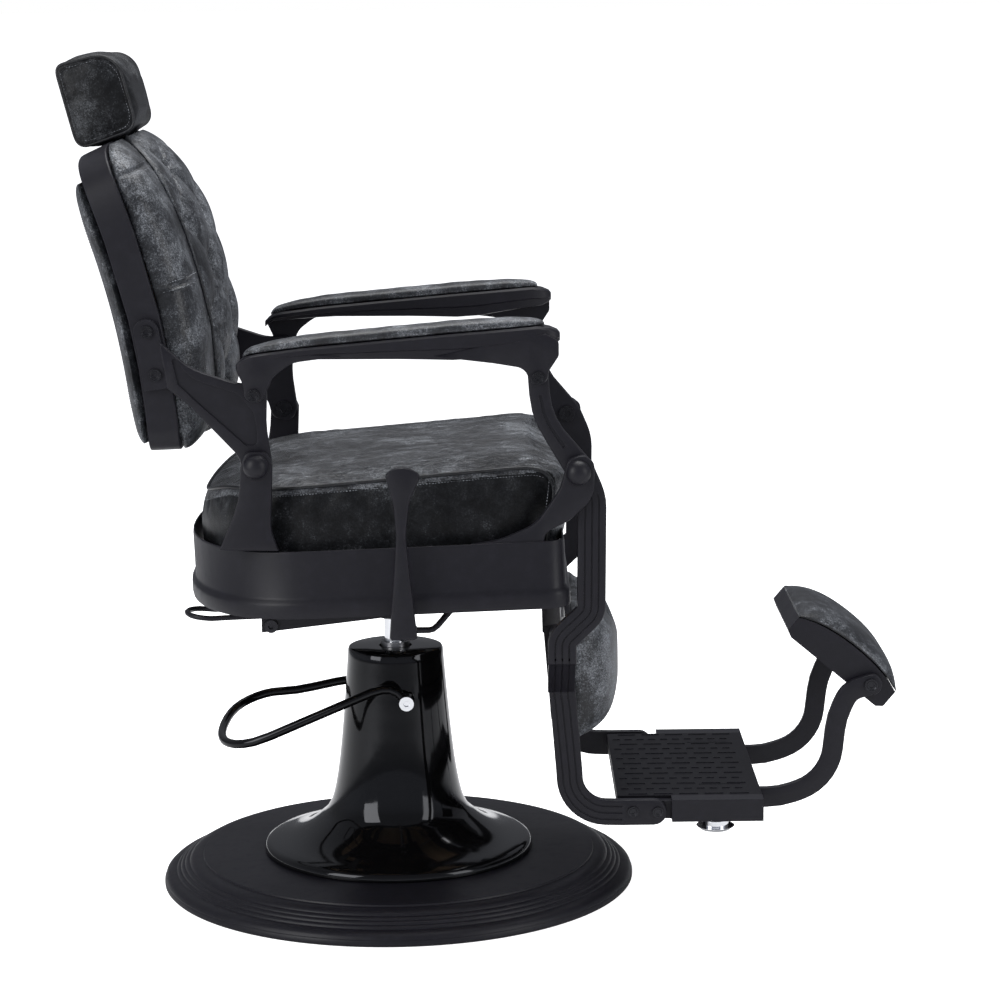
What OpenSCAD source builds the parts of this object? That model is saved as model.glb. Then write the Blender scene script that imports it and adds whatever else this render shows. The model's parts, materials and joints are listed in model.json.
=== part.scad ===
// Hydraulic barber chair with a reclining back, a linked legrest and a flip footrest.
// Millimetres, +Z up. The sitter faces +X, the left-hand side is +Y.
// The origin is the middle of the base, on the floor.

/* [Base] */
// Diameter of the base plate
base_d = 690; // [600:5:760]
// Height of the base plate's plateau
base_h = 46; // [40:1:60]
// Wall of the base plate
base_t = 9; // [6:1:12]
// Diameter of the pump cover's flange
flange_d = 394; // [340:2:440]
// Height of the pump cover's top
cover_top = 348; // [330:1:380]
// Wall of the pump cover
cover_t = 3; // [2:0.5:5]

/* [Pump] */
// Diameter of the piston rod
rod_d = 32; // [26:1:34]
// Outer diameter of the hydraulic cylinder
cylinder_d = 56; // [54:1:60]
// Wall of the hydraulic cylinder
cylinder_t = 4; // [3:0.5:6]
// Height of the pump lever's axle
lever_axle_z = 285; // [275:1:290]
// Distance of the pump lever's axle in front of the rod
lever_axle_x = 18; // [14:1:22]
// Diameter of the pump lever's bar
lever_bar_d = 13; // [10:1:16]

/* [Seat] */
// Width of the seat pan's wall
seat_w = 598; // [520:2:680]
// Front face of the seat pan
pan_front = 244; // [236:1:252]
// Rearmost face of the seat pan
pan_rear = -284; // [-320:1:-280]
// Height of the seat pan's wall
pan_h = 92; // [80:1:100]
// Height of the pan's bottom edge over the floor
pan_z = 456; // [448:1:458]
// Wall of the seat pan
pan_t = 3; // [2:0.5:4]
// Slope of the seat, in degrees
seat_pitch = 1.9; // [0:0.1:3]
// Gap between the seat cushion's side and the pan's wall
cushion_gap = 37; // [35:1:42]
// Thickness of the seat cushion
cushion_h = 137; // [125:1:155]
// Crown of the seat cushion
seat_crown = 4; // [0:1:14]

/* [Linkage] */
// Thickness of the cast plates
cast_t = 12; // [9:0.5:15]
// Diameter of the main pivot pins
pin_d = 16; // [12:1:18]
// Diameter of the armrest screws
arm_pin_d = 10; // [8:1:11]
// Thickness of the pivot washers
washer_t = 1.4; // [1:0.1:2.5]
// Radial clearance round the pins
run_gap = 0.05; // [0.02:0.01:0.1]
// Radial clearance round the armrest's front screws
open_gap = 1.6; // [1.3:0.1:2]
// Clearance between moving faces
face_gap = 0.3; // [0.2:0.1:0.6]

/* [Back] */
// Length of the back band along its bow
back_len = 418; // [400:2:430]
// Height along the bow at which the band starts to arch in
arch_start = 186; // [170:2:200]
// Depth of the back band
band_d = 42; // [36:1:46]
// Thickness of the back band
band_t = 12; // [8:1:14]
// Depth of the back cushion in front of the band's middle
back_crown = 93; // [80:1:98]
// Width of the headrest
head_w = 200; // [180:5:300]
// Travel of the headrest
head_travel = 60; // [30:5:70]

/* [Legrest] */
// Distance between the outer faces of the legs at the foot
foot_w = 404; // [380:2:420]
// Front edge of the tread plate
tread_front = 521; // [500:1:540]
// Width of the flip footrest
flip_w = 220; // [160:2:240]
// Diameter of the flip footrest's pivot screws
flip_pin_d = 10; // [8:1:12]

/* [Hidden] */
$fn = 64;
arc_step = 9;

// Colours
satin = [0.11, 0.11, 0.12];
gloss = [0.03, 0.03, 0.035];
hide = [0.24, 0.25, 0.25];
steel = [0.62, 0.63, 0.65];
bright = [0.82, 0.83, 0.85];
oxide = [0.07, 0.07, 0.07];
rubber_grey = [0.09, 0.09, 0.09];
ply = [0.62, 0.47, 0.3];

// Side stack, from the pan's wall inward (distances from the middle plane)
post_out = seat_w / 2 - pan_t - face_gap;
post_in = post_out - cast_t;
cast_out = post_in - washer_t - face_gap;
cast_in = cast_out - cast_t;
lug_in = cast_out + face_gap;
lug_out = lug_in + cast_t - 1;
bolt_head_t = 5.5;
foot_out = foot_w / 2;
foot_in = foot_out - cast_t;

// Pivots in the side view, as [x, z]
recline_pivot = [-174, 661];
arm_rear_pivot = [-175, 757];
arm_front_pivot = [207, 777];
leg_pivot = [260, 648];
flip_pivot = [680.5, 309];
lever_pivot = [23, 440];
loop_pivot = [-173, 400];

// ---- points and curves ----

function unit(v) = v / norm(v);
function rot2(p, a) = [p[0] * cos(a) - p[1] * sin(a), p[0] * sin(a) + p[1] * cos(a)];
function at(c, r, a) = c + r * [cos(a), sin(a)];

// One corner [x, y, radius] between its neighbours, as the points of its arc
function corner(a, b, d) =
  let (p = [b[0], b[1]], r = b[2])
  r == 0 ? [p] :
  let (u = unit([a[0], a[1]] - p), v = unit([d[0], d[1]] - p),
       half = acos(u * v) / 2, ctr = p + unit(u + v) * r / sin(half),
       s = p + u * r / tan(half) - ctr, turn = 180 - 2 * half,
       n = max(1, round(turn / arc_step)),
       way = u[0] * v[1] - u[1] * v[0] > 0 ? -1 : 1)
  [for (k = [0:n]) ctr + rot2(s, way * turn * k / n)];

// A closed outline and an open path from corners [x, y, radius]
function outline(c) =
  [for (i = [0:len(c) - 1]) each corner(c[(i + len(c) - 1) % len(c)], c[i], c[(i + 1) % len(c)])];
function path(c) =
  [for (i = [0:len(c) - 1])
     each (i == 0 || i == len(c) - 1) ? [[c[i][0], c[i][1]]] : corner(c[i - 1], c[i], c[i + 1])];

// An open path moved sideways by d, and a strip of width w along it
function shifted(p, d) =
  [for (i = [0:len(p) - 1])
     let (t = unit(p[min(i + 1, len(p) - 1)] - p[max(i - 1, 0)])) p[i] + d * [-t[1], t[0]]];
function reversed(p) = [for (i = [len(p) - 1:-1:0]) p[i]];
function strip(p, w) = concat(shifted(p, -w / 2), reversed(shifted(p, w / 2)));

// A counter-clockwise outline drawn in by d
function inset(p, d) =
  [for (i = [0:len(p) - 1])
     let (n = len(p), t0 = unit(p[i] - p[(i + n - 1) % n]), t1 = unit(p[(i + 1) % n] - p[i]),
          m = unit(t0 + t1))
     p[i] + [-m[1], m[0]] * d / max(0.5, m * t0)];

// A point on a cubic curve
function curve(a, b, c, d, t) =
  a * pow(1 - t, 3) + 3 * b * t * pow(1 - t, 2) + 3 * c * t * t * (1 - t) + d * pow(t, 3);
function curve_points(a, b, c, d, n) = [for (k = [0:n]) curve(a, b, c, d, k / n)];

// D-shaped plan: square front with round corners, rounded rear
rear_power = 2.3;
rear_start = -95;
function d_plan(w, front, rear, r, n = 28) = concat(
  [for (k = [0:5]) at([front - r, r - w], r, -90 + 18 * k)],
  [for (k = [0:5]) at([front - r, w - r], r, 18 * k)],
  [for (k = [0:n]) let (t = 90 + 180 * k / n)
     [rear_start + (rear - rear_start) * pow(abs(cos(t)), 2 / rear_power),
      w * sign(round(sin(t) * 1e6)) * pow(abs(sin(t)), 2 / rear_power)]]);

// ---- solids from rings of points ----

// Triangles that fill one ring, seen along the ring's own normal
function turn2(a, b, c) = (b[0] - a[0]) * (c[1] - a[1]) - (b[1] - a[1]) * (c[0] - a[0]);
function flat_ring(r) =
  let (n = len(r), v = [for (i = [0:n - 1]) 1] * [for (i = [0:n - 1]) cross(r[i], r[(i + 1) % n])],
       m = [abs(v[0]), abs(v[1]), abs(v[2])], k = m[0] > max(m[1], m[2]) ? 0 : m[1] > m[2] ? 1 : 2)
  [for (p = r) v[k] > 0 ? [p[(k + 1) % 3], p[(k + 2) % 3]] : [p[(k + 2) % 3], p[(k + 1) % 3]]];
function blocked(p, ids, a, b, c) =
  len([for (j = ids) if (j != a && j != b && j != c && turn2(p[a], p[b], p[j]) > -1e-9
                         && turn2(p[b], p[c], p[j]) > -1e-9 && turn2(p[c], p[a], p[j]) > -1e-9) 1]) > 0;
function ears(p, ids, at = 0, tries = 0, out = []) =
  let (n = len(ids))
  n == 3 ? concat(out, [ids]) :
  let (i = at % n, a = ids[(i + n - 1) % n], b = ids[i], c = ids[(i + 1) % n])
  tries > n || (turn2(p[a], p[b], p[c]) > 1e-9 && !blocked(p, ids, a, b, c))
    ? ears(p, [for (j = [0:n - 1]) if (j != i) ids[j]], i + 1, 0, concat(out, [[a, b, c]]))
    : ears(p, ids, i + 1, tries + 1, out);
function filled(r) = ears(flat_ring(r), [for (i = [0:len(r) - 1]) i]);

// Rings run counter-clockwise about the stacking direction
module loft(rings, closed = false) {
  n = len(rings[0]);
  m = len(rings);
  sides = [for (j = [0:m - (closed ? 1 : 2)], i = [0:n - 1])
    let (a = j * n + i, b = j * n + (i + 1) % n,
         c = ((j + 1) % m) * n + (i + 1) % n, d = ((j + 1) % m) * n + i)
    each [[a, d, c], [a, c, b]]];
  last = (m - 1) * n;
  caps = closed ? [] : concat(filled(rings[0]),
    [for (t = filled(rings[m - 1])) [last + t[2], last + t[1], last + t[0]]]);
  polyhedron(points = [for (r = rings) each r], faces = concat(sides, caps));
}

// A plate of thickness t with rounded outer edges and broken inner edges
module slab(p, t, edge = 2) {
  loft([for (k = [[edge / 2, 0], [0, edge / 2], [0, t - edge], [0.3 * edge, t - 0.3 * edge],
                  [edge, t]])
    [for (q = inset(p, k[0])) [q[0], q[1], k[1]]]]);
}

// A tube of radius r swept along 3-D points; ref is never along the path
function ring_at(p, i, r, n, ref) =
  let (t = unit(p[min(i + 1, len(p) - 1)] - p[max(i - 1, 0)]),
       u = unit(cross(t, ref)), v = cross(t, u))
  [for (k = [0:n - 1]) p[i] + r * (u * cos(360 * k / n) + v * sin(360 * k / n))];
// The route with every corner cut once; its two ends stay
function softened(p) = concat([p[0]],
  [for (i = [0:len(p) - 2], f = [0.25, 0.75]) p[i] + (p[i + 1] - p[i]) * f], [p[len(p) - 1]]);
module tube(p, r, n = 12, ref = [0, 0, 1]) {
  loft([for (i = [0:len(p) - 1]) ring_at(p, i, r, n, ref)]);
}

// 2-D drawings stand in the side view: x stays x, y becomes z. The outer face is at height t
module upright(y_in) {
  translate([0, -y_in, 0]) rotate([90, 0, 0]) children();
}
// The right-hand side is drawn, the left-hand side mirrors it
module on_left(left) {
  mirror([0, left ? 1 : 0, 0]) children();
}
module both_sides() {
  children();
  mirror([0, 1, 0]) children();
}
// A round bar along Y, on the right-hand side, between two distances from the middle
module pin_y(p, d, from, to) {
  upright(from) translate([p[0], p[1], 0]) cylinder(d = d, h = to - from);
}
// Socket-head screw along Y: head from its seat outward, shank inward
module screw_y(p, seat, d, head_d, head_t, shank) {
  difference() {
    union() {
      pin_y(p, head_d, seat, seat + head_t);
      pin_y(p, d, seat - shank, seat + 0.01);
    }
    upright(seat + head_t * 0.3) translate([p[0], p[1], 0])
      cylinder(d = head_d * 0.46, h = head_t, $fn = 6);
    upright(seat + head_t * 0.72) translate([p[0], p[1], 0])
      cylinder(d1 = head_d * 0.64, d2 = head_d * 0.78, h = head_t * 0.28 + 0.01);
  }
}
// The seat's own frame: its bottom plane slopes with the seat
module sloped() {
  translate([0, 0, pan_z]) rotate([0, -seat_pitch, 0]) children();
}
function slope_z(x, z) = pan_z + z * cos(seat_pitch) + x * sin(seat_pitch);

// ---- base ----

hub_r = 76;
base_r = base_d / 2;
plateau_r = base_r - 57;
// Beads of the rim from the plateau outwards: width and drop of each
rim_beads = [[19, 7], [7, 4], [6, 4.5], [6, 4.5], [17, 10.5]];
ring_in = base_r - 24;
ring_out = base_r - 6;
ring_h = 5;
// Sum of column c in the rows before row k
function up_to(rows, c, k) = k == 0 ? 0 : rows[k - 1][c] + up_to(rows, c, k - 1);
module base_plate() {
  fall = (base_h - 15.5) / 30.5;
  beads = [for (k = [0:len(rim_beads) - 1])
    let (b = rim_beads[k], r = plateau_r + 1 + up_to(rim_beads, 0, k),
         z = base_h - 5 - fall * up_to(rim_beads, 1, k))
    for (a = [90:-22.5:0]) [r + 0.7 + (b[0] - 0.7) * cos(a), z - fall * b[1] * (1 - sin(a))]];
  color(satin) difference() {
    rotate_extrude($fn = 128) polygon(concat(
      [[0, 0], [hub_r, 0], [hub_r, base_h - base_t - 6], [plateau_r - 14, base_h - base_t - 9],
       [ring_in - 12, 7], [ring_in - 12, 1], [ring_in, 1], [ring_in, ring_h],
       [ring_out, ring_h], [ring_out, 1], [base_r - 2, 1], [base_r, 3], [base_r, 8],
       [base_r - 2, 11]],
      reversed(beads),
      [[plateau_r, base_h - 5], [plateau_r - 1, base_h - 2.5], [plateau_r - 60, base_h - 1],
       [flange_d / 2, base_h], [0, base_h]]));
    for (a = [45:90:315])
      rotate(a) translate([foot_pcd / 2, 0, 16]) cylinder(d = foot_bolt_d, h = base_h);
  }
}

module floor_ring() {
  color(rubber_grey) rotate_extrude($fn = 128)
    translate([ring_in, 0]) square([ring_out - ring_in, ring_h]);
}

cover_r = 69;
cover_hole_r = 24;
// The cover's wall, from the flange's edge up to the top
cover_wall = concat(
  curve_points([flange_d / 2 - 9, base_h + 14.5], [flange_d / 2 - 46, base_h + 22],
               [135, base_h + 30], [106, 102], 8),
  curve_points([102, 108], [88, 128], [80, 205], [cover_r + 0.5, cover_top - 4], 10));
module pump_cover() {
  inner = [for (p = reversed(cover_wall)) [p[0] - cover_t, p[1] - cover_t]];
  color(gloss) difference() {
    rotate_extrude($fn = 96) polygon(concat(
      [[flange_d / 2 - 4, base_h], [flange_d / 2, base_h + 2], [flange_d / 2, base_h + 6],
       [flange_d / 2 - 1.2, base_h + 9.5], [flange_d / 2 - 4, base_h + 12.5]],
      cover_wall,
      [[cover_r - 1, cover_top - 1], [cover_r - 4, cover_top], [cover_hole_r, cover_top],
       [cover_hole_r, cover_top - cover_t], [cover_r - 5, cover_top - cover_t]],
      inner,
      [[flange_d / 2 - 8, base_h]]));
    for (s = [-1, 1])
      translate([lever_axle_x, s * cover_r, lever_axle_z]) rotate([90, 0, 0])
        cylinder(r = axle_r + 3, h = cover_r, center = true);
  }
}

// ---- pump ----

cyl_r = cylinder_d / 2;
cyl_top = cover_top - 13;
cyl_bore = cyl_r - cylinder_t;
foot_pcd = 104;
foot_bolt_d = 12;
foot_t = 12;
module pump_cylinder() {
  color(steel) difference() {
    union() {
      translate([0, 0, base_h]) cylinder(r = hub_r - 4, h = foot_t);
      translate([0, 0, base_h]) cylinder(r = cyl_r, h = cyl_top - base_h);
    }
    translate([0, 0, base_h + foot_t]) cylinder(r = cyl_bore, h = cyl_top);
    for (a = [45:90:315])
      rotate(a) translate([foot_pcd / 2, 0, 0]) cylinder(d = foot_bolt_d, h = base_h * 2);
  }
}

module cylinder_gland() {
  color(steel) difference() {
    union() {
      translate([0, 0, cyl_top]) cylinder(r = cyl_r, h = 7);
      translate([0, 0, cyl_top + 7]) cylinder(r = cover_hole_r - 3, h = 13, $fn = 12);
    }
    translate([0, 0, cyl_top - 1]) cylinder(d = rod_d + 2 * run_gap, h = 30);
  }
}

module pump_bolts() {
  color(oxide) for (a = [45:90:315])
    rotate(a) translate([foot_pcd / 2, 0, 0]) {
      translate([0, 0, base_h + foot_t]) cylinder(r = 10, h = 7, $fn = 6);
      translate([0, 0, 20]) cylinder(d = foot_bolt_d, h = base_h + foot_t - 20 + 0.01);
    }
}

axle_r = 7;
yoke_arm = 62;
yoke_bar_r = 5;
yoke_in = cyl_r + 8.2;
yoke_t = 6;
jacket_r = cyl_r + 5;
plunger_r = 8;
plunger_x = lever_axle_x - yoke_arm;
barrel_top = lever_axle_z - 41;
module pump_block() {
  color(steel) difference() {
    union() {
      translate([0, 0, 130]) cylinder(r = jacket_r, h = lever_axle_z + 15 - 130);
      translate([plunger_x, 0, 130]) cylinder(r = plunger_r + 4, h = barrel_top - 130);
      translate([plunger_x, -6, 130]) cube([-plunger_x - cyl_r, 12, barrel_top - 130]);
      translate([lever_axle_x, 0, lever_axle_z]) rotate([90, 0, 0])
        cylinder(r = axle_r + 6, h = 2 * (yoke_in - face_gap), center = true);
    }
    translate([0, 0, 100]) cylinder(r = cyl_r, h = 300);
    translate([plunger_x, 0, 150]) cylinder(r = plunger_r + run_gap, h = 200);
    translate([lever_axle_x, 0, lever_axle_z]) rotate([90, 0, 0])
      cylinder(r = axle_r + run_gap, h = 200, center = true);
  }
}

// Stub axles, cheeks and the bar that presses the plunger
module pump_yoke() {
  bar = [plunger_x, lever_axle_z];
  color(steel) {
    both_sides() {
      pin_y([lever_axle_x, lever_axle_z], 2 * axle_r, cyl_r + 0.8, collar_in + 10);
      upright(yoke_in) linear_extrude(yoke_t) difference() {
        union() {
          translate([lever_axle_x, lever_axle_z]) circle(r = axle_r + 4);
          translate(bar) circle(r = yoke_bar_r);
          polygon([[lever_axle_x, lever_axle_z - axle_r - 4], [lever_axle_x, lever_axle_z + axle_r + 4],
                   [bar[0], bar[1] + yoke_bar_r], [bar[0], bar[1] - yoke_bar_r]]);
        }
        translate([lever_axle_x, lever_axle_z]) circle(r = axle_r - 0.01);
      }
    }
    translate([bar[0], 0, bar[1]]) rotate([90, 0, 0])
      cylinder(r = yoke_bar_r, h = 2 * yoke_in + 2 * yoke_t, center = true);
  }
}

module pump_plunger() {
  top = lever_axle_z - yoke_bar_r - face_gap;
  color(steel) {
    translate([plunger_x, 0, 190]) cylinder(r = plunger_r, h = top - 190);
    translate([plunger_x, 0, top - 6]) cylinder(r = plunger_r + 3, h = 6);
  }
}

collar_in = 86;
collar_t = 18;
bar_r = lever_bar_d / 2;
bar_y = collar_in + collar_t / 2;
// Round bar bent into a loop, from the near collar to the far one
lever_route = [
  [lever_axle_x, -bar_y, lever_axle_z], [0, -bar_y, lever_axle_z + 18],
  [-22, -bar_y, lever_axle_z + 18], [-63, -bar_y, 286], [-131, -bar_y, 257],
  [-196, -bar_y + 2, 229], [-226, -bar_y + 14, 221], [-245, -60, 219], [-254, -35, 221],
  [-256, 0, 226], [-250, 40, 235], [-238, 68, 243], [-218, bar_y - 8, 250],
  [-194, bar_y, 256], [-170, bar_y, 258], [-146, bar_y, 260], [-75, bar_y, 275],
  [lever_axle_x, bar_y, lever_axle_z]
];
module pump_lever() {
  hole = [lever_axle_x, lever_axle_z];
  color(gloss) difference() {
    union() {
      tube(softened(lever_route), bar_r, 14);
      both_sides() pin_y(hole, 2 * axle_r + 8, collar_in, collar_in + collar_t);
    }
    both_sides() pin_y(hole, 2 * axle_r, collar_in - 20, collar_in + 10);
    both_sides() pin_y(hole, 8, collar_in - 20, collar_in + 60);
  }
}

module lever_collars() {
  color(bright) both_sides() difference() {
    union() {
      pin_y([lever_axle_x, lever_axle_z], 21, collar_in + collar_t, collar_in + collar_t + 5);
      pin_y([lever_axle_x, lever_axle_z], 8, collar_in + 10, collar_in + collar_t + 0.01);
    }
    upright(collar_in + collar_t + 1.5) translate([lever_axle_x, lever_axle_z, 0])
      cylinder(r = 4.6, h = 6, $fn = 6);
  }
}

rod_bottom = base_h + foot_t + 4;
rod_top = pan_z - 38;
head_h = 22;
module piston_rod() {
  color(bright) difference() {
    translate([0, 0, rod_bottom]) cylinder(d = rod_d, h = rod_top - rod_bottom);
    translate([0, 0, rod_bottom - 1]) cylinder(r = 7, h = head_h + 1);
  }
}
module piston_head() {
  color(steel) difference() {
    union() {
      translate([0, 0, rod_bottom]) cylinder(r = 7, h = head_h);
      translate([0, 0, rod_bottom]) cylinder(r = cyl_bore - 0.1, h = head_h);
    }
    translate([0, 0, rod_bottom + 8]) difference() {
      cylinder(r = cyl_bore + 2, h = 6);
      translate([0, 0, -1]) cylinder(r = cyl_bore - 3, h = 8);
    }
    translate([0, 0, rod_bottom + 0.001]) difference() {
      cylinder(d = rod_d, h = head_h + 1);
      translate([0, 0, -1]) cylinder(r = 7, h = head_h + 3);
    }
  }
}
module piston_seal() {
  color(rubber_grey) translate([0, 0, rod_bottom + 8]) difference() {
    cylinder(r = cyl_bore - 0.05, h = 6);
    translate([0, 0, -1]) cylinder(r = cyl_bore - 3, h = 8);
  }
}

// ---- seat ----

hub_bottom = pan_z - 64;
channel_z = pan_z - 18;
channel_t = 6;
channel_w = 100;
flange_h = 8;
module swivel_hub() {
  color(satin) difference() {
    union() {
      translate([0, 0, hub_bottom]) cylinder(r = rod_d / 2 + 11, h = channel_z - hub_bottom);
      translate([0, 0, channel_z - flange_h]) cylinder(r = 62, h = flange_h);
    }
    translate([0, 0, hub_bottom - 1])
      cylinder(d = rod_d + 2 * run_gap, h = rod_top - hub_bottom + 1 + face_gap);
    for (a = [45:90:315])
      rotate(a) translate([50, 0, 0]) cylinder(d = 10, h = channel_z + 10);
  }
}

frame_bottom = 8;
frame_top = 34;
frame_front = 224;
rail_w = 20;
channel_front = 96;
// Wedge-shaped channel that holds the sloped seat over the upright rod
module mount_channel() {
  lip = [[-187, 390], [-20, 409], [30, 417], [channel_front, 431],
         [channel_front, slope_z(channel_front, frame_bottom)], [-187, slope_z(-187, frame_bottom)]];
  color(satin) difference() {
    union() {
      both_sides() upright(channel_w - channel_t) linear_extrude(channel_t) polygon(lip);
      translate([-187, -channel_w, channel_z])
        cube([187 + channel_front, 2 * channel_w, channel_t]);
    }
    for (a = [45:90:315])
      rotate(a) translate([50, 0, 0]) cylinder(d = 10, h = 600);
    pin_y(loop_pivot, loop_pin_d, -200, 200);
    pin_y(lever_pivot, shaft_d + 2 * run_gap, 50, 150);
  }
}

module mount_bolts() {
  color(oxide) {
    for (a = [45:90:315])
      rotate(a) translate([50, 0, 0]) {
        translate([0, 0, channel_z - flange_h - 7]) cylinder(r = 8, h = 7, $fn = 6);
        translate([0, 0, channel_z - flange_h - 0.01])
          cylinder(d = 10, h = flange_h + channel_t + 4);
      }
    difference() {
      union() {
        pin_y(loop_pivot, loop_pin_d, -channel_w, channel_w);
        both_sides() pin_y(loop_pivot, 19, channel_w, channel_w + 6);
      }
      both_sides() upright(channel_w + 2) translate([loop_pivot[0], loop_pivot[1], 0])
        cylinder(r = 4.5, h = 6, $fn = 6);
    }
  }
}

module frame_bar(x0, x1, y0, y1) {
  translate([x0, y0, frame_bottom]) cube([x1 - x0, y1 - y0, frame_top - frame_bottom]);
}
bearing_w = 14;
module seat_frame() {
  leg = rear_leg_in;
  color(satin) difference() {
    union() {
      sloped() {
        frame_bar(-150, -128, -post_in, post_in);
        frame_bar(60, 82, -post_in, post_in);
        frame_bar(frame_front - 22, frame_front, -post_in, post_in);
        frame_bar(-205, -183, -leg, leg);
        for (s = [-1, 1]) {
          frame_bar(-150, frame_front, s > 0 ? post_in - rail_w : -post_in,
                    s > 0 ? post_in : rail_w - post_in);
          frame_bar(-205, -140, s > 0 ? leg - rail_w : -leg, s > 0 ? leg : rail_w - leg);
        }
      }
      // hanging bearing of the lever's shaft
      upright(post_in - bearing_w) linear_extrude(bearing_w) union() {
        translate(lever_pivot) circle(r = shaft_d / 2 + 5);
        translate([lever_pivot[0] - shaft_d / 2 - 5, lever_pivot[1]])
          square([shaft_d + 10, slope_z(0, frame_bottom + 4) - lever_pivot[1]]);
      }
    }
    pin_y(lever_pivot, shaft_d + 2 * run_gap, 200, 300);
  }
}

// Pressed skirt with an outward step along the bottom
module seat_pan() {
  half = seat_w / 2;
  // [outward offset, height]
  section = [[5, 0], [5.5, 3], [5.5, 18], [4.5, 22], [1.5, 25], [0, 29], [0, pan_h - 4],
             [-0.4, pan_h - 1.2], [-1.5, pan_h], [-pan_t, pan_h - 1],
             [-pan_t, 27], [-pan_t + 2, 23], [5.5 - pan_t, 18], [5.5 - pan_t, 0]];
  color(satin) sloped() loft([for (q = section)
    [for (p = d_plan(half + q[0], pan_front + q[0], pan_rear - q[0], 26 + q[0]))
       [p[0], p[1], q[1]]]], closed = true);
}

board_t = 12;
cushion_w = seat_w / 2 - cushion_gap;
cushion_front = pan_front - 12;
cushion_rear = pan_rear + 17;
module seat_board() {
  color(ply) sloped() translate([0, 0, frame_top]) linear_extrude(board_t)
    polygon(d_plan(cushion_w - 6, cushion_front - 6, cushion_rear + 6, 24));
}

// Box cushion: straight side band, thicker toward the front, top rounded down at the rear
cushion_wedge = 0.00037;
rear_drop = 28;
rear_round = 61;
// How far the front leans forward at the top
cushion_nose = 26;
// Waterfall edge along the front
front_drop = 9;
front_round = 46;
module seat_cushion() {
  base = frame_top + board_t;
  edge = 16;
  side_h = cushion_h - seat_crown;
  // [inset, height, share of the rear drop]
  section = concat([[5, 0, 0], [1, 5, 0], [0, 14, 0], [-2, side_h * 0.35, 0.05],
                    [-2.5, side_h * 0.6, 0.25]],
    [for (a = [0:22.5:90]) [edge * (1 - cos(a)) - 1, side_h - edge * (1 - sin(a)), 1]],
    [for (f = [0.2, 0.45, 0.75]) [edge + (cushion_w - edge) * f,
                                  side_h + seat_crown * (1 - pow(1 - f, 2)), 1]]);
  color(hide) sloped() loft([for (q = section)
    let (k = 1 - q[0] / cushion_w)
    [for (p = d_plan(cushion_w, cushion_front, cushion_rear, 52, 24))
      let (x = q[0] > edge ? rear_start + (p[0] - rear_start) * k : p[0] - q[0]
             * (p[0] > rear_start ? 1 : -1) * min(1, abs(p[0] - rear_start) / 60),
           low = max(0, cushion_rear + rear_round - x) / rear_round,
           dip = max(0, x - cushion_front + front_round) / front_round,
           fore = cushion_nose * pow(min(1, q[1] / side_h), 1.6) * max(0, x - 120) / (cushion_front - 120))
      [x + fore, p[1] * k, base + q[1] * (1 + cushion_wedge * x)
        - q[2] * (rear_drop * low * low + front_drop * dip * dip)]]]);
}

// ---- posts ----

pan_rim = slope_z(-185, pan_h);
rear_leg_in = cushion_w - 8.5;
// The foot hooks over the pan's rim and down to the seat frame
module rear_post(left) {
  c = recline_pivot;
  form = outline([[c[0] + 22, c[1] + 2, 12], [c[0] + 14, c[1] + 20, 12], [c[0] - 14, c[1] + 20, 12],
                  [c[0] - 21, c[1], 30], [c[0] - 24, 612, 120], [c[0] - 52, pan_rim + 5, 0],
                  [c[0] + 28, pan_rim + 3, 0], [c[0] + 18, 572, 60]]);
  on_left(left) color(satin) difference() {
    union() {
      upright(post_in) slab(form, cast_t, 2.5);
      translate([c[0] - 26, -post_in - 1, pan_rim + 3]) cube([36, post_in - rear_leg_in + 1, 10]);
      translate([c[0] - 20, -rear_leg_in - 9, slope_z(-180, frame_bottom) + 2])
        cube([30, 9, pan_rim + 11 - slope_z(-180, frame_bottom)]);
    }
    pin_y(c, pin_d, post_in - 5, post_out + 5);
  }
}
module rear_post_left() rear_post(true);
module rear_post_right() rear_post(false);

module front_post(left) {
  c = leg_pivot;
  foot = slope_z(170, frame_bottom);
  form = outline([[112, foot + 2, 4], [212, foot + 6, 4], [214, 566, 16], [c[0] - 12, 582, 60],
                  [c[0] + 21, 614, 40], [c[0] + 22, c[1] + 12, 12], [c[0] + 8, c[1] + 24, 12],
                  [c[0] - 14, c[1] + 18, 12], [c[0] - 24, c[1] - 22, 60], [c[0] - 58, 577, 60],
                  [152, 556, 80], [112, 550, 4]]);
  on_left(left) color(satin) difference() {
    upright(post_in) slab(form, cast_t, 2.5);
    pin_y(c, pin_d, post_in - 5, post_out + 5);
  }
}
module front_post_left() front_post(true);
module front_post_right() front_post(false);

module pivot_bolts() {
  color(oxide) both_sides() for (c = [recline_pivot, leg_pivot]) {
    seat = cast_in - face_gap;
    difference() {
      union() {
        pin_y(c, pin_d, seat - 0.01, post_out + 8);
        pin_y(c, pin_d + 8, seat - bolt_head_t, seat);
      }
      upright(seat - bolt_head_t - 1) translate([c[0], c[1], 0])
        cylinder(r = 6, h = 4, $fn = 6);
    }
  }
}
cap_r = 17;
module pivot_caps() {
  color(satin) both_sides() for (c = [recline_pivot, leg_pivot])
    translate([c[0], 0, c[1]]) difference() {
      rotate([90, 0, 0]) rotate_extrude() polygon(concat(
        [[0, post_out], [cap_r, post_out]],
        [for (a = [0:10:90]) [cap_r * cos(a), post_out + 3 + (cap_r - 3) * sin(a)]]));
      rotate([90, 0, 0]) cylinder(d = pin_d, h = post_out + 8);
    }
}
module pivot_washers() {
  color(steel) both_sides() for (c = [recline_pivot, leg_pivot])
    difference() {
      pin_y(c, pin_d + 18, post_in - washer_t, post_in);
      pin_y(c, pin_d, post_in - 5, post_in + 5);
    }
}

// ---- recline lock ----

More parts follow.
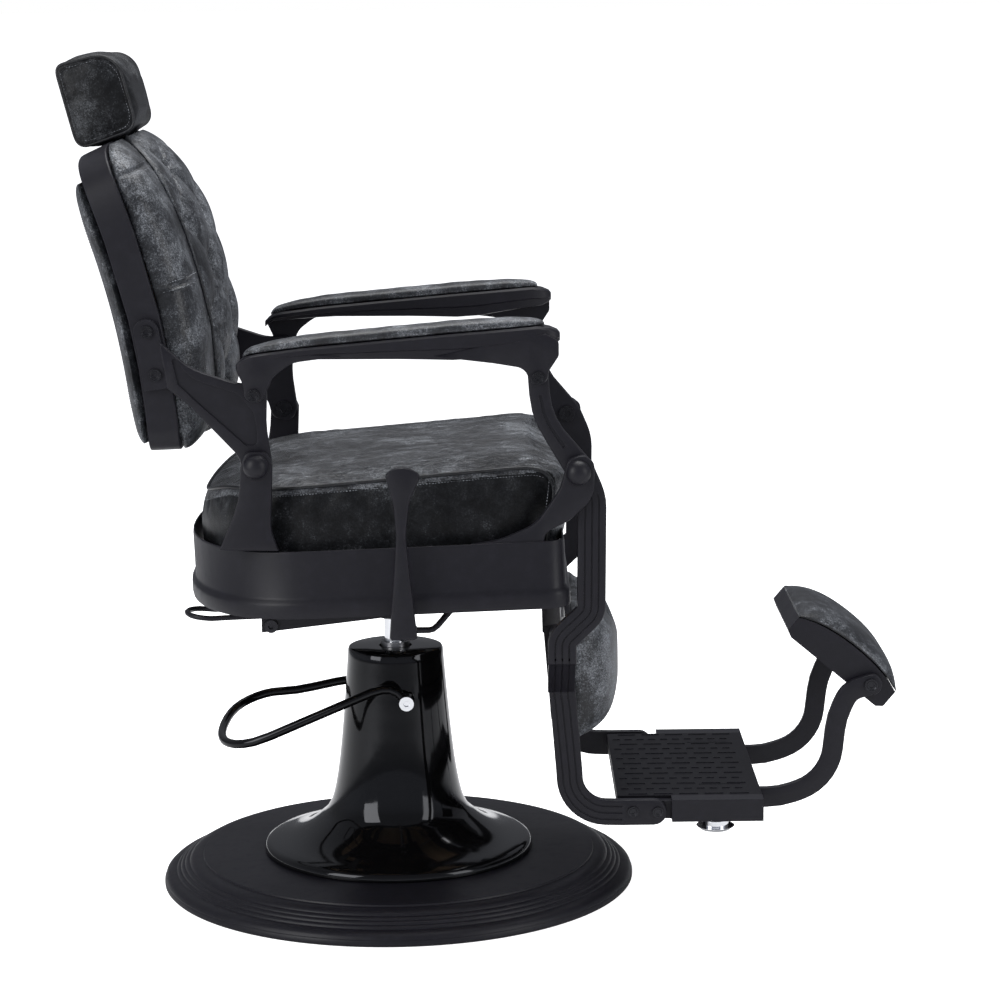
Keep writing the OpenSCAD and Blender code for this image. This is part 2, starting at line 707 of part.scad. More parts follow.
lock_y = 60;
lock_r = 222;
lock_w = 16;
lock_t = 8;
guide_y = 84;
guide_z = 446;
clamp_x = 194;
module lock_arc(r0, r1, from, to, t) {
  n = ceil((to - from) / 3);
  arc = function (r) [for (k = [0:n]) at(leg_pivot, r, -90 - from - (to - from) * k / n)];
  upright(lock_y - t / 2) linear_extrude(t) polygon(concat(arc(r0), reversed(arc(r1))));
}
module lock_quadrant() {
  color(steel) {
    lock_arc(lock_r - lock_w / 2, lock_r + lock_w / 2, lock_from, lock_to, lock_t);
    translate([panel_x[0] - 4, -lock_y - 12, 402]) cube([4, 24, 24]);
  }
}
module lock_clamp() {
  top = function (x) slope_z(x, frame_bottom) - 0.05;
  color(satin) difference() {
    union() {
      upright(lock_y - 15) linear_extrude(30)
        polygon([[clamp_x, 416], [clamp_x + 26, 416], [clamp_x + 26, top(clamp_x + 26)],
                 [clamp_x, top(clamp_x)]]);
      translate([clamp_x, -guide_y - 10, guide_z - 9]) cube([26, guide_y - lock_y, 18]);
    }
    lock_arc(lock_r - lock_w / 2 - face_gap, lock_r + lock_w / 2 + face_gap, 0, 30,
             lock_t + 2 * face_gap);
    translate([clamp_x - 5, -guide_y, guide_z]) rotate([0, 90, 0])
      cylinder(r = release_r + 0.1, h = 60);
  }
}

// ---- back ----

// Side view of the back: arc length s from the bottom, depth d forward of the band's middle
back_foot = [-299, 677];
lean_low = 2;
lean_high = 25;
bow_r = back_len / ((lean_high - lean_low) * PI / 180);
function lean(s) = lean_low + (lean_high - lean_low) * min(s, back_len) / back_len;
function back_xz(s, d) =
  let (s1 = min(s, back_len), a = lean(s1), over = max(0, s - back_len))
  back_foot + bow_r * [cos(a) - cos(lean_low), sin(a) - sin(lean_low)]
  + d * [cos(a), sin(a)] + over * [-sin(a), cos(a)];
function back_point(s, d, y) = let (q = back_xz(s, d)) [q[0], y, q[1]];

// Half width of the band: straight sides under a rounded arch
back_w = cast_in;
arch_h = back_len - arch_start;
arch_power = 6;
function band_half(s) = s < arch_start ? back_w :
  back_w * pow(max(0.0001, 1 - pow((s - arch_start) / arch_h, arch_power)), 1 / arch_power);
function arch_point(t) = [back_w * pow(cos(t), 2 / arch_power),
                          arch_start + arch_h * pow(sin(t), 2 / arch_power)];
strap_out = back_w + cast_t - 2;

module back_band() {
  arch = [for (t = [6:6:84]) arch_point(t)];
  foot = outline([[back_w, 100, 0], [-back_w, 100, 0], [-back_w, 0, foot_r], [back_w, 0, foot_r]]);
  low = [for (p = foot) if (p[1] < 90) p];
  hoop = concat([for (y = [60, 120]) [back_w, y]], [[back_w, arch_start]], arch, [[0, back_len]],
                [for (p = reversed(arch)) [-p[0], p[1]]],
                [for (y = [arch_start, 120, 60]) [-back_w, y]], low);
  inner = inset(hoop, band_t);
  e = 1.2;
  // corners of the section: [distance in from the outer face, depth]
  section = [[0, -band_d / 2 + e], [0, band_d / 2 - e], [e, band_d / 2], [band_t - e, band_d / 2],
             [band_t, band_d / 2 - e], [band_t, -band_d / 2 + e], [band_t - e, -band_d / 2],
             [e, -band_d / 2]];
  color(satin) difference() {
    loft([for (i = [0:len(hoop) - 1])
      let (n = (inner[i] - hoop[i]) / band_t)
      [for (q = section) let (p = hoop[i] + n * q[0]) back_point(p[1], q[1], p[0])]],
      closed = true);
    for (c = strap_screws) both_sides() pin_y(c, 8, back_w - 20, back_w + 20);
    post_bar(back_len - 100, back_len + 40, face_gap);
  }
}

// Half width of everything that sits inside the band
foot_r = 32;
function inside_half(s) =
  let (low = max(0, foot_r - s), r = foot_r - band_t)
  min(band_half(min(s + 8, back_len)) - band_t - 1,
      low > 0 ? back_w - foot_r - 1 + sqrt(max(0, r * r - low * low)) : back_w);

board_d = 6;
board_t2 = 8;
module back_board() {
  color(ply) loft([for (s = [band_t + 2:(back_len - 2 * band_t - 16) / 10:back_len - band_t - 13])
    let (w = inside_half(s) - 1)
    [back_point(s, board_d + board_t2, -w), back_point(s, board_d + board_t2, w),
     back_point(s, board_d, w), back_point(s, board_d, -w)]]);
}

// Depth of the front cushion's middle at height s, and its half width at the front seam
cushion_low = -12;
cushion_mid = 210;
cushion_end = back_len - 2;
function swell(t, n) = pow(max(0, 1 - pow(abs(t), n)), 1 / n);
function back_depth(s) = s < cushion_mid
  ? (back_crown - 15 * max(0, 1 - s / 150)) * swell((cushion_mid - s) / 222, 5)
  : back_crown * swell((s - cushion_mid) / 222, 2.8);
function seam_half(s) = 160 * swell((s - 235) / (s > 235 ? 187 : 250), s > 235 ? 3 : 2.3);
// The cushion's foot hangs in a round roll: lowest height at depth d, and a height drawn onto it
function roll_low(d) = -7 + (d > 36 ? min(25, 15.7 * pow((d - 36) / 29, 2)) : 11.5 * pow((36 - d) / 23, 2));
function rolled(s, d) = s + (roll_low(d) - cushion_low) * pow(max(0, 60 - s) / (60 - cushion_low), 2);

// Diamond tufting: rows at tuft_s, columns at tuft_y
tuft_s = 69;
tuft_y = 66;
tuft_from = 81;
tuft_depth = 13;
function tuft(s, y) =
  let (u = (s - tuft_from) / tuft_s / 2, v = (y / tuft_y - 1) / 2,
       inside = s > 40 && s < 400 && abs(y) < 175 ? 1 : 0,
       p = abs(sin(180 * (u + v))), q = abs(sin(180 * (u - v))))
  inside * tuft_depth * (pow(p * q, 0.35) - 0.75);

module back_cushion() {
  rear = board_d + board_t2 + face_gap;
  lip = band_d / 2 + 0.6;
  cols = 20;
  span = cushion_end - cushion_low;
  rows = [for (k = [0:28]) let (t = k / 28)
    cushion_low + 3 + (span - 3) * (0.3 * (1 - cos(180 * t)) + 0.4 * t)];
  inner = function (s) band_t + 2 + (s - cushion_low) / span * (back_len - 2 * band_t - 16);
  // the part that sinks into the band ends flat, level with the band's front
  stop = function (s, f)
    let (w = inside_half(s) - 0.6)
    concat(
      [back_point(s, lip, w), back_point(s, rear, w - 3), back_point(s, rear, 3 - w),
       back_point(s, lip, -w)],
      [for (a = [0:30:90]) back_point(s, lip + 0.1, -(f + (w - 4 - f) * cos(a)) - 0.5)],
      [for (k = [0:cols]) back_point(s, lip + 0.2, -f + 2 * f * k / cols)],
      [for (a = [90:-30:0]) back_point(s, lip + 0.1, f + (w - 4 - f) * cos(a) + 0.5)]);
  color(hide) loft(concat([stop(inner(rows[0]) - 2, 70)], [for (s = rows)
    let (s_in = inner(s), w_in = inside_half(s_in) - 0.6, wide = max(s, 0),
         w = min(w_in, band_half(min(wide, back_len - 2)) - band_t),
         c = max(back_depth(s), lip + 8), side = max(lip + 5, c - 17),
         f = min(seam_half(wide), w - 6),
         flank = [for (a = [0:30:90]) [f + 4 + (w - f - 4) * pow(cos(a), 0.75),
                                       lip + 1 + (side - 4 - lip) * pow(sin(a), 0.75)]])
    concat(
      [back_point(s_in, lip, w_in), back_point(s_in, rear, w_in - 3),
       back_point(s_in, rear, 3 - w_in), back_point(s_in, lip, -w_in)],
      [for (q = flank) back_point(rolled(s, q[1]), q[1], -q[0])],
      [for (k = [0:cols]) let (y = -f + 2 * f * k / cols, e = 1 - pow(abs(y) / (f + 1), 4),
                               d = side + (c - side) * (1 - pow(y / f, 2))
                                   + tuft(s, y) * e * min(1, max(0, c / back_crown * 1.6 - 0.6)))
         back_point(rolled(s, d), d, y)],
      [for (q = reversed(flank)) back_point(rolled(s, q[1]), q[1], q[0])])],
    [stop(inner(rows[28]) + 2, 30)]));
}

// Domed panel behind the back
pad_low = band_t + 2;
pad_high = back_len - 34;
pad_bulge = 53;
module back_pad() {
  front = -19;
  seat = -band_d / 2 - face_gap;
  rows = [for (k = [0:14]) pad_low + (pad_high - pad_low) * (0.5 - 0.5 * cos(180 * k / 14))];
  color(hide) loft([for (s = rows)
    let (t = 2 * (s - pad_low) / (pad_high - pad_low) - 1, lift = swell(t * 0.995, 4),
         w = inside_half(s), out = band_half(s) - 2)
    concat([back_point(s, front, -w), back_point(s, front, w), back_point(s, seat, w)],
      [for (k = [0:14]) let (y = out * cos(180 * k / 14))
         back_point(s, seat - 1 - (pad_bulge + seat - 1) * lift * swell(y / out * 0.995, 3.4), y)],
      [back_point(s, seat, -w)])]);
}

strap_screws = [back_xz(167, 1), back_xz(108, 1)];
// Triangular casting: outer plate on the pivots, flange inward, strap on the band
module back_bracket(left) {
  a = recline_pivot;
  b = arm_rear_pivot;
  top = back_xz(186, 0);
  low = back_xz(88, 0);
  step_low = back_xz(88, 14);
  step_high = back_xz(152, 14);
  plate = outline([[a[0] + 21, a[1], 14], [b[0] + 15, (a[1] + b[1]) / 2 + 4, 90],
                   [b[0] + 17, b[1] + 6, 8], [b[0] + 6, b[1] + 16, 10], [b[0] - 22, b[1] + 14, 60],
                   [-262, 793, 90], [step_high[0], step_high[1], 0], [step_low[0], step_low[1], 0],
                   [-262, 742, 60], [a[0] - 24, a[1] + 12, 30], [a[0] - 18, a[1] - 14, 16],
                   [a[0] + 12, a[1] - 20, 14]]);
  panel = outline([[b[0] + 3, (a[1] + b[1]) / 2, 30], [b[0] - 1, b[1] - 24, 10],
                   [b[0] - 22, b[1] + 2, 20], [-262, 780, 60],
                   [step_high[0] + 14, step_high[1] - 12, 3], [step_low[0] + 14, step_low[1] + 6, 3],
                   [-252, 747, 60], [a[0] - 14, a[1] + 27, 6], [a[0] + 2, a[1] + 27, 6]]);
  strap = strip([back_xz(88, 0), back_xz(110, 0), back_xz(140, 0), back_xz(167, 0)], 34);
  on_left(left) color(satin) difference() {
    union() {
      upright(cast_in) slab(plate, cast_t, 2.5);
      upright(back_w) linear_extrude(strap_out - back_w) union() {
        polygon(strap);
        translate(back_xz(167, 0)) circle(r = 17);
      }
    }
    upright(cast_out - 3) linear_extrude(4) polygon(panel);
    pin_y(a, pin_d + 2 * run_gap, cast_in - 5, cast_out + 5);
    pin_y(b, arm_pin_d, cast_in - 5, cast_out + 5);
    for (c = strap_screws) pin_y(c, 8, back_w - 5, strap_out + 5);
  }
}
module back_bracket_left() back_bracket(true);
module back_bracket_right() back_bracket(false);

module bracket_screws() {
  color(oxide) both_sides() {
    for (c = strap_screws) screw_y(c, strap_out, 8, 17, 4, strap_out - back_w + band_t - 1);
    screw_y(arm_rear_pivot, lug_out + face_gap, arm_pin_d, 17, 4, lug_out + face_gap - cast_in - 1);
  }
}

post_half = 20;
post_t = 6;
socket_t = 4;
head_lean = 22;
head_in = 24;
plate_h = 60;
plate_half = 70;
// The headrest's post frame: z along the post from the top of the band
module along_post() {
  a = back_xz(back_len, -post_t - 1);
  translate([a[0], 0, a[1]]) rotate([0, -head_lean, 0]) children();
}
module post_bar(from, to, grow) {
  along_post() translate([-grow, -post_half - grow, from - back_len])
    cube([post_t + 2 * grow, 2 * (post_half + grow), to - from]);
}
module post_plate(grow) {
  along_post() translate([-grow, -plate_half - grow, head_in - grow])
    cube([post_t + 2 * grow, 2 * (plate_half + grow), plate_h + 2 * grow]);
}
module headrest_socket() {
  color(satin) difference() {
    along_post() translate([-socket_t - 3, -post_half - socket_t - 1, -96])
      cube([post_t + socket_t + 3 + board_d + 0.8, 2 * (post_half + socket_t + 1), 96 - band_t - 2]);
    post_bar(back_len - 200, back_len + 60, face_gap);
  }
}
module headrest_post() {
  color(satin) union() {
    post_bar(back_len - 52 - head_travel, back_len + head_in + 1, 0);
    post_plate(0);
  }
}
module headrest_cushion() {
  form = outline([[-425.5, 1076, 14], [-341, 1105.5, 18], [-369, 1214, 34], [-455.5, 1194, 10]]);
  mid = [-398, 1147];
  half = head_w / 2;
  // [distance from the middle, share drawn in]
  section = [[-half - 5, 0.45], [-half - 3.5, 0.15], [-half, 0.02], [-half + 4, 0],
             [-half * 0.4, -0.02], [half * 0.4, -0.02], [half - 4, 0], [half, 0.02],
             [half + 3.5, 0.15], [half + 5, 0.45]];
  color(hide) difference() {
    rotate([90, 0, 0]) loft([for (q = section)
      [for (p = form) let (r = p + (mid - p) * q[1]) [r[0], r[1], q[0]]]]);
    post_bar(back_len - 60, back_len + head_in + 2, face_gap);
    post_plate(face_gap);
  }
}

// ---- armrests ----

arm_out = lug_out + 2;
arm_in = arm_out - 56;
// Upper and lower line of the armrest's frame
arm_top = [[-200, 796, 0], [-186, 810, 26], [-110, 820, 200], [90, 837, 600], [214, 846, 12],
           [238, 838, 10], [238, 826, 0]];
arm_low = [[-200, 796, 0], [-150, 801, 30], [-100, 804.5, 200], [30, 803.6, 300], [112, 801, 60],
           [180, 812, 30], [228, 818, 8], [238, 826, 0]];
function height_at(p, x) =
  let (k = [for (i = [0:len(p) - 2]) if (p[i][0] <= x && p[i + 1][0] >= x) i][0], a = p[k], b = p[k + 1])
  b[0] - a[0] < 0.001 ? a[1] : a[1] + (b[1] - a[1]) * (x - a[0]) / (b[0] - a[0]);

function arm_upper(x) = height_at(path(arm_top), min(max(x, -199.9), 237.5));
function arm_lower(x) = height_at(path(arm_low), min(max(x, -199.9), 237.5));

module arm_frame(left) {
  a = arm_rear_pivot;
  b = arm_front_pivot;
  mid = (arm_in + arm_out) / 2;
  stations = [for (k = [0:18]) -199 + 436 * (0.5 - 0.5 * cos(180 * k / 18))];
  lug_rear = outline([[a[0] - 12, a[1] - 8, 12], [a[0] + 11, a[1] - 10, 12],
                      [a[0] + 26, 781, 30], [a[0] + 52, 800.5, 40], [a[0] + 118, 808.5, 0],
                      [a[0] + 40, 815, 0], [a[0] - 4, 809, 16], [a[0] - 22, 800, 5],
                      [a[0] - 22, 789, 10], [a[0] - 14, 772, 20]]);
  lug_front = outline([[b[0] - 12, b[1] - 9, 12], [b[0] + 12, b[1] - 9, 12], [b[0] + 14, b[1] + 8, 16],
                       [b[0] + 28, 806, 10], [b[0] + 28, 826, 8], [b[0] + 10, 836, 0],
                       [b[0] - 60, 824, 0], [b[0] - 140, 807, 0], [b[0] - 60, 797, 60],
                       [b[0] - 19, 790, 20], [b[0] - 14, b[1] + 3, 12]]);
  on_left(left) color(satin) difference() {
    union() {
      loft([for (x = stations)
        let (z1 = arm_upper(x), z0 = min(arm_lower(x), z1 - 9),
             e = 1 - pow(abs((x - 19) / 219), 8), w = 6 + 22 * pow(max(0, e), 0.5),
             m = z0 + (z1 - z0) * 0.45)
        [[x, -mid - w, z1 - 3], [x, -mid - w, m], [x, -mid - w + 3, m - 1.5], [x, -mid - w + 4, z0 + 1],
         [x, -mid - w + 7, z0], [x, -mid + w - 7, z0], [x, -mid + w - 4, z0 + 1],
         [x, -mid + w - 3, m - 1.5], [x, -mid + w, m], [x, -mid + w, z1 - 3], [x, -mid + w - 3, z1],
         [x, -mid - w + 3, z1]]]);
      upright(lug_in) slab(lug_rear, lug_out - lug_in, 2);
      upright(lug_in) slab(lug_front, lug_out - lug_in, 2);
    }
    pin_y(a, arm_pin_d + 2 * run_gap, lug_in - 5, lug_out + 5);
    pin_y(b, arm_pin_d + 2 * open_gap, lug_in - 5, lug_out + 5);
  }
}
module arm_frame_left() arm_frame(true);
module arm_frame_right() arm_frame(false);

pad_rise = 15;
module arm_pad(left) {
  mid = (arm_in + arm_out) / 2;
  from = -190;
  to = 216;
  stations = [for (k = [0:16]) from + (to - from) * (0.5 - 0.5 * cos(180 * k / 16))];
  on_left(left) color(hide) loft([for (x = stations)
    let (t = (x - from) / (to - from), e = pow(max(0.01, 1 - pow(abs(2 * t - 1), 5)), 0.5),
         w = 5 + 20 * e, z = arm_upper(x) + 0.35, h = 2 + (pad_rise - 2) * e)
    concat([[x, -mid + w - 1, z], [x, -mid + w, z + h * 0.3]],
      [for (a = [30:30:150]) [x, -mid + w * cos(a), z + h * 0.3 + h * 0.7 * pow(sin(a), 0.7)]],
      [[x, -mid - w, z + h * 0.3], [x, -mid - w + 1, z]])]);
}
module arm_pad_left() arm_pad(true);
module arm_pad_right() arm_pad(false);

// ---- legrest ----

// Middle line of the leg: upper link, then the straight leg down to the bend
link_line = path([[207, 779, 0], [211, 722, 110], [262, 650, 60], [279, 610, 60],
                  [277, 452, 22], [237, 414, 22], [237, 380, 0]]);
leg_w = 39;
jog_top = 392;
jog_low = 326;
jog_out = cast_out - 0.5;
low_line = path([[238, jog_low + 8, 0], [248, 205, 0], [250, 149, 52], [320, 147, 0], [366, 147, 0]]);
toe = [366, 147];
toe_screws = [[337, 149], [372, 148]];
module leg_casting(left) {
  b = arm_front_pivot;
  c = leg_pivot;
  // widths: the link narrows to its upper screw
  n = len(link_line);
  half = function (p) p[1] > c[1] ? 14 + 6 * pow(max(0, 1 - (p[1] - c[1]) / 60), 2) : leg_w / 2;
  lower = [for (p = link_line) if (p[1] <= c[1] + 110) p];
  edge_r = [for (i = [0:n - 1]) shifted(link_line, -half(link_line[i]))[i]];
  edge_l = [for (i = [0:n - 1]) shifted(link_line, half(link_line[i]))[i]];
  upper_plate = concat(reversed(edge_l), [for (a = [20:20:160]) at(b, 14, a)], edge_r);
  foot_plate = concat(shifted(low_line, -leg_w / 2 + 1),
                      [for (a = [-72:18:72]) at(toe, leg_w / 2 - 1, a)],
                      reversed(shifted(low_line, leg_w / 2 - 1)));
  groove = path([[210, 752, 0], [213, 722, 100], [242, 681, 0]]);
  ribs = [for (p = link_line) if (p[1] < c[1] - 34) p];
  low_ribs = path([[237.6, jog_low - 8, 0], [248, 205, 0], [250, 149, 52], [322, 147, 0]]);
  on_left(left) color(satin) difference() {
    union() {
      upright(cast_in) slab(upper_plate, cast_t, 2.5);
      upright(foot_in) slab(foot_plate, cast_t, 2.5);
      // inward jog between the wide pivots and the narrow foot
      translate([218.5, 0, 0]) rotate([90, 0, 90]) linear_extrude(leg_w - 2)
        polygon([[-jog_out, jog_top + 6], [-jog_out, jog_top - 4], [-foot_out + 0.5, jog_low - 4],
                 [-foot_in - 0.5, jog_low - 4], [-foot_in - 0.5, jog_low + 6],
                 [-cast_in - 0.5, jog_top + 6]]);
    }
    upright(cast_out - 2) linear_extrude(4) polygon(strip(groove, 5));
    for (k = [-1:1])
      upright(cast_out - 1.6) linear_extrude(4) polygon(strip(shifted(ribs, k * 9.5), 2.2));
    for (k = [-1:1]) {
      upright(foot_out - 1.6) linear_extrude(4) polygon(strip(shifted(low_ribs, k * 9.5), 2.2));
      translate([237 + k * 9.5 - 1.1, 0, 0]) rotate([90, 0, 90]) linear_extrude(2.2)
        polygon(strip([[-jog_out, jog_top + 8], [-jog_out, jog_top - 4],
                       [-foot_out + 0.5, jog_low - 4], [-foot_out + 0.5, jog_low - 14]], 2.6));
    }
    pin_y(c, pin_d + 2 * run_gap, cast_in - 5, cast_out + 5);
    pin_y(b, arm_pin_d, cast_in - 5, cast_out + 5);
    for (q = toe_screws) pin_y(q, 8, foot_in - 5, foot_out + 5);
  }
}
module leg_casting_left() leg_casting(true);
module leg_casting_right() leg_casting(false);

module leg_screws() {
  color(oxide) both_sides() {
    for (q = toe_screws) screw_y(q, foot_out, 8, 15, 3.5, cast_t + 10);
    screw_y(arm_front_pivot, lug_out + face_gap, arm_pin_d, 17, 4, lug_out + face_gap - cast_in - 1);
  }
}

tube_z = [272, 325];
tube_r = 9;
panel_x = [244, 252];
panel_low = 256;
module calf_panel() {
  half = foot_in - 22;
  color(satin) union() {
    translate([panel_x[0], -half, panel_low]) cube([panel_x[1] - panel_x[0], 2 * half, 426 - panel_low]);
    for (z = tube_z)
      translate([238, 0, z]) rotate([90, 0, 0]) cylinder(r = tube_r, h = 2 * foot_in, center = true);
  }
}
lock_from = 4.4;
lock_to = 41.5;

module calf_pad() {
  half = foot_in - 20;
  low = 241;
  rear_low = 250;
  high = 424;
  rows = [for (k = [0:14]) low + (high - low) * (0.5 - 0.5 * cos(180 * k / 14))];
  color(hide) loft([for (z = rows)
    let (t = (z - low) / (high - low), lift = pow(max(0.04, 1 - pow(abs(2 * t - 1), 4)), 0.5),
         w = half - 14 * pow(abs(2 * t - 1), 8))
    concat([[panel_x[1], w - 3, max(z, rear_low + t)], [panel_x[1], 3 - w, max(z, rear_low + t)]],
      [for (k = [0:12]) let (y = -w * cos(180 * k / 12), e = 1 - pow(abs(y) / (w + 0.6), 4))
         [panel_x[1] + 4 + 60 * lift * pow(e, 0.5) + 4 * e, y, z]])]);
}

tread_z = 160;
tread_t = 5;
tread_rear = 316;
tread_half = foot_in - 14;
bar_w = 3.4;
module tread_plate() {
  color(satin) difference() {
    union() {
      translate([0, 0, tread_z]) linear_extrude(tread_t)
        polygon(outline([[tread_rear, -tread_half, 6], [tread_front, -tread_half, 6],
                         [tread_front, tread_half, 6], [tread_rear, tread_half, 6]]));
      translate([tread_rear, -tread_half, tread_z - 14]) cube([5, 2 * tread_half, 15]);
      translate([tread_front - 5, -tread_half, tread_z - 20]) cube([5, 2 * tread_half, 21]);
      // raised bars: rows of long ones between rows of short pairs
      for (i = [0:4], j = [-6:6])
        for (bar = abs(j) % 2 == 0 ? [[0, 27]] : [[-9, 11], [9, 11]])
          translate([tread_rear + 16 + i * 36 + bar[0], j * 28 - bar_w / 2, tread_z + tread_t - 1])
            cube([bar[1], bar_w, 2.2]);
    }
    for (s = [-1, 1]) {
      translate([tread_front - 86, s * foot_arm_y - 1.5, tread_z - 1]) cube([60, 3, 10]);
      translate([tread_front - 8, s * foot_arm_y - foot_arm_t / 2 - face_gap, tread_z - 30])
        cube([10, foot_arm_t + 2 * face_gap, 30]);
    }
  }
}

module foot_brackets() {
  rear = 392;
  color(satin) both_sides() difference() {
    union() {
      translate([rear, -foot_out, tread_z - 27])
        cube([tread_front - rear, foot_out - tread_half, 32]);
      // tongue behind the casting's toe
      translate([tread_rear + 6, -foot_in, tread_z - 25])
        cube([rear - tread_rear, foot_in - tread_half, 26]);
    }
    for (q = toe_screws) pin_y(q, 8, foot_in - 20, foot_in + 5);
  }
}

foot_arm_y = flip_w / 2 + 9;
foot_arm_t = 11;
arm_line = path([[440, 145.4, 0], [552, 145.4, 110], [622, 170, 72], [632, 262, 110],
                 [650, 300, 30], [flip_pivot[0], flip_pivot[1], 0]]);
module foot_arms() {
  n = len(arm_line);
  bar = concat(shifted(arm_line, -14.5), [for (a = [-70:20:70]) at(flip_pivot, 16, a)],
               reversed(shifted(arm_line, 14.5)));
  flat = [for (p = bar) [p[0], p[0] < tread_front + 4 ? min(p[1], tread_z - 0.05) : p[1]]];
  color(satin) both_sides() difference() {
    upright(foot_arm_y - foot_arm_t / 2) slab(flat, foot_arm_t, 2);
    pin_y(flip_pivot, flip_pin_d + 2 * run_gap, foot_arm_y - 20, foot_arm_y + 20);
  }
}

module foot_glides() {
  color(bright) both_sides() translate([454, -foot_out + 16, tread_z - 36]) {
    cylinder(r = 19, h = 9);
    translate([0, 0, -5]) cylinder(r1 = 21, r2 = 27, h = 5);
  }
}

// ---- flip footrest ----

// Side view along the tread face: u runs from the pivot to the raised end, n toward the leather
flip_tilt = 140;
function flip_xz(u, n) = flip_pivot + rot2([u, -n], flip_tilt);
seam_line = curve_points([140.6, 8], [100, 30], [10, 32], [-37, 13], 12);
module flip_shell() {
  half = flip_w / 2;
  side = concat([for (p = reversed(seam_line)) flip_xz(p[0], p[1])],
                [flip_xz(140.6, -15), flip_xz(130, -21), flip_xz(-28, -21), flip_xz(-37, -14)]);
  color(satin) difference() {
    union() {
      rotate([90, 0, 0]) translate([0, 0, -half]) linear_extrude(2 * half) polygon(side);
      // raised dashes on the tread face
      for (i = [0:5], j = [-2:2])
        if ((i + j + 4) % 3 != 0)
          translate([flip_xz(10 + i * 18, -21)[0], 0, flip_xz(10 + i * 18, -21)[1]])
            rotate([0, -flip_tilt, 0]) translate([-1.2, j * 28 - 10, -0.01]) cube([2.4, 20, 1.3]);
    }
    pin_y(flip_pivot, flip_pin_d, -200, 200);
  }
}

module flip_pad() {
  half = flip_w / 2;
  cols = 12;
  rows = [for (p = seam_line) p];
  n = len(rows);
  color(hide) loft([for (i = [0:n - 1])
    let (t = i / (n - 1), lift = pow(max(0.02, 1 - pow(abs(2 * t - 1), 3)), 0.6),
         p = rows[i], base = flip_xz(p[0], p[1] + 0.05))
    concat([[base[0], -half + 1, base[1]], [base[0], half - 1, base[1]]],
      [for (k = [0:cols]) let (y = half - 2 * half * k / cols,
                               e = pow(1 - pow(abs(y) / (half + 0.4), 4), 0.5),
                               q = flip_xz(p[0] * (1 + 0.01 * e), p[1] + 1.5 + 20 * lift * e))
         [q[0], y, q[1]]])]);
}

module flip_screws() {
  out = foot_arm_y + foot_arm_t / 2 + face_gap;
  color(oxide) both_sides()
    screw_y(flip_pivot, out, flip_pin_d, 19, 4, out - flip_w / 2 + 26);
}

// ---- recline lever and rear loop ----

shaft_d = 14;
lever_in = seat_w / 2 + 22;
lever_t = 10;
crank_y = 200;
crank_pin = [27, 415];
eye_d = 11.4;
release_r = 4.5;
module recline_lever() {
  p = lever_pivot;
  form = outline([[p[0] + 18, p[1] - 13, 4], [p[0] + 14, 466, 30], [p[0] + 8, 523, 60],
                  [p[0] + 4, 570, 60], [p[0] + 10, 618, 40], [p[0] + 26, 652, 8],
                  [p[0] + 10, 662, 24], [p[0] - 10, 663, 24], [p[0] - 23, 653, 8],
                  [p[0] - 12, 614, 40], [p[0] - 9, 570, 60], [p[0] - 12, 523, 60],
                  [p[0] - 17, 466, 30], [p[0] - 20, p[1] - 13, 4]]);
  color(satin) difference() {
    upright(lever_in) slab(form, lever_t, 3);
    pin_y(p, shaft_d, lever_in - 5, lever_in + lever_t - 4);
  }
}
module lever_shaft() {
  p = lever_pivot;
  color(steel) {
    pin_y(p, shaft_d, channel_w - channel_t, lever_in + lever_t - 4);
    difference() {
      upright(crank_y - 4) linear_extrude(8) union() {
        translate(p) circle(r = shaft_d / 2 + 4);
        translate(crank_pin) circle(r = 8);
        polygon([[p[0] - 8, p[1]], [crank_pin[0] - 7, crank_pin[1]],
                 [crank_pin[0] + 7, crank_pin[1]], [p[0] + 8, p[1]]]);
      }
      pin_y(p, shaft_d - 0.02, 100, 300);
    }
    pin_y(crank_pin, 8, crank_y + 3.9, crank_y + 16);
  }
}
// Bent bar from the crank to the guide in the clamp
module release_rod() {
  eye_y = crank_y + 4 + face_gap;
  route = [[crank_pin[0] + 8, -eye_y - 5, 415], [54, -eye_y - 5, 415], [60, -eye_y - 5, 416.5],
           [66, -eye_y - 4, 421], [84, -eye_y + 2, 441], [90, -eye_y + 8, 445],
           [98, -eye_y + 18, guide_z], [158, -guide_y - 14, guide_z], [166, -guide_y - 4, guide_z],
           [176, -guide_y, guide_z], [184, -guide_y, guide_z]];
  color(satin) difference() {
    union() {
      tube(route, release_r, 12);
      translate([180, -guide_y, guide_z]) rotate([0, 90, 0]) cylinder(r = release_r, h = 48);
      pin_y(crank_pin, 22, eye_y, eye_y + 10);
    }
    pin_y(crank_pin, eye_d, eye_y - 5, eye_y + 20);
  }
}

loop_pin_d = 10;
module rear_loop() {
  c = loop_pivot;
  y0 = 30;
  route = concat([[c[0], -y0, c[1]], [c[0] - 60, -y0, c[1] - 2], [c[0] - 92, -y0 - 2, c[1] - 3]],
    [for (a = [-90:22.5:90]) [c[0] - 104 - 26 * cos(a), (y0 + 2) * sin(a), c[1] - 2 + 3 * cos(a)]],
    [[c[0] - 92, y0 + 2, c[1] - 3], [c[0] - 60, y0, c[1] - 2], [c[0], y0, c[1]]]);
  color(satin) difference() {
    union() {
      tube(route, 4, 10);
      for (s = [-1, 1]) translate([c[0], s * y0, c[1]]) rotate([90, 0, 0])
        cylinder(d = loop_pin_d + 9, h = 9, center = true);
    }
    pin_y(c, loop_pin_d + 2 * run_gap, -90, 90);
  }
}

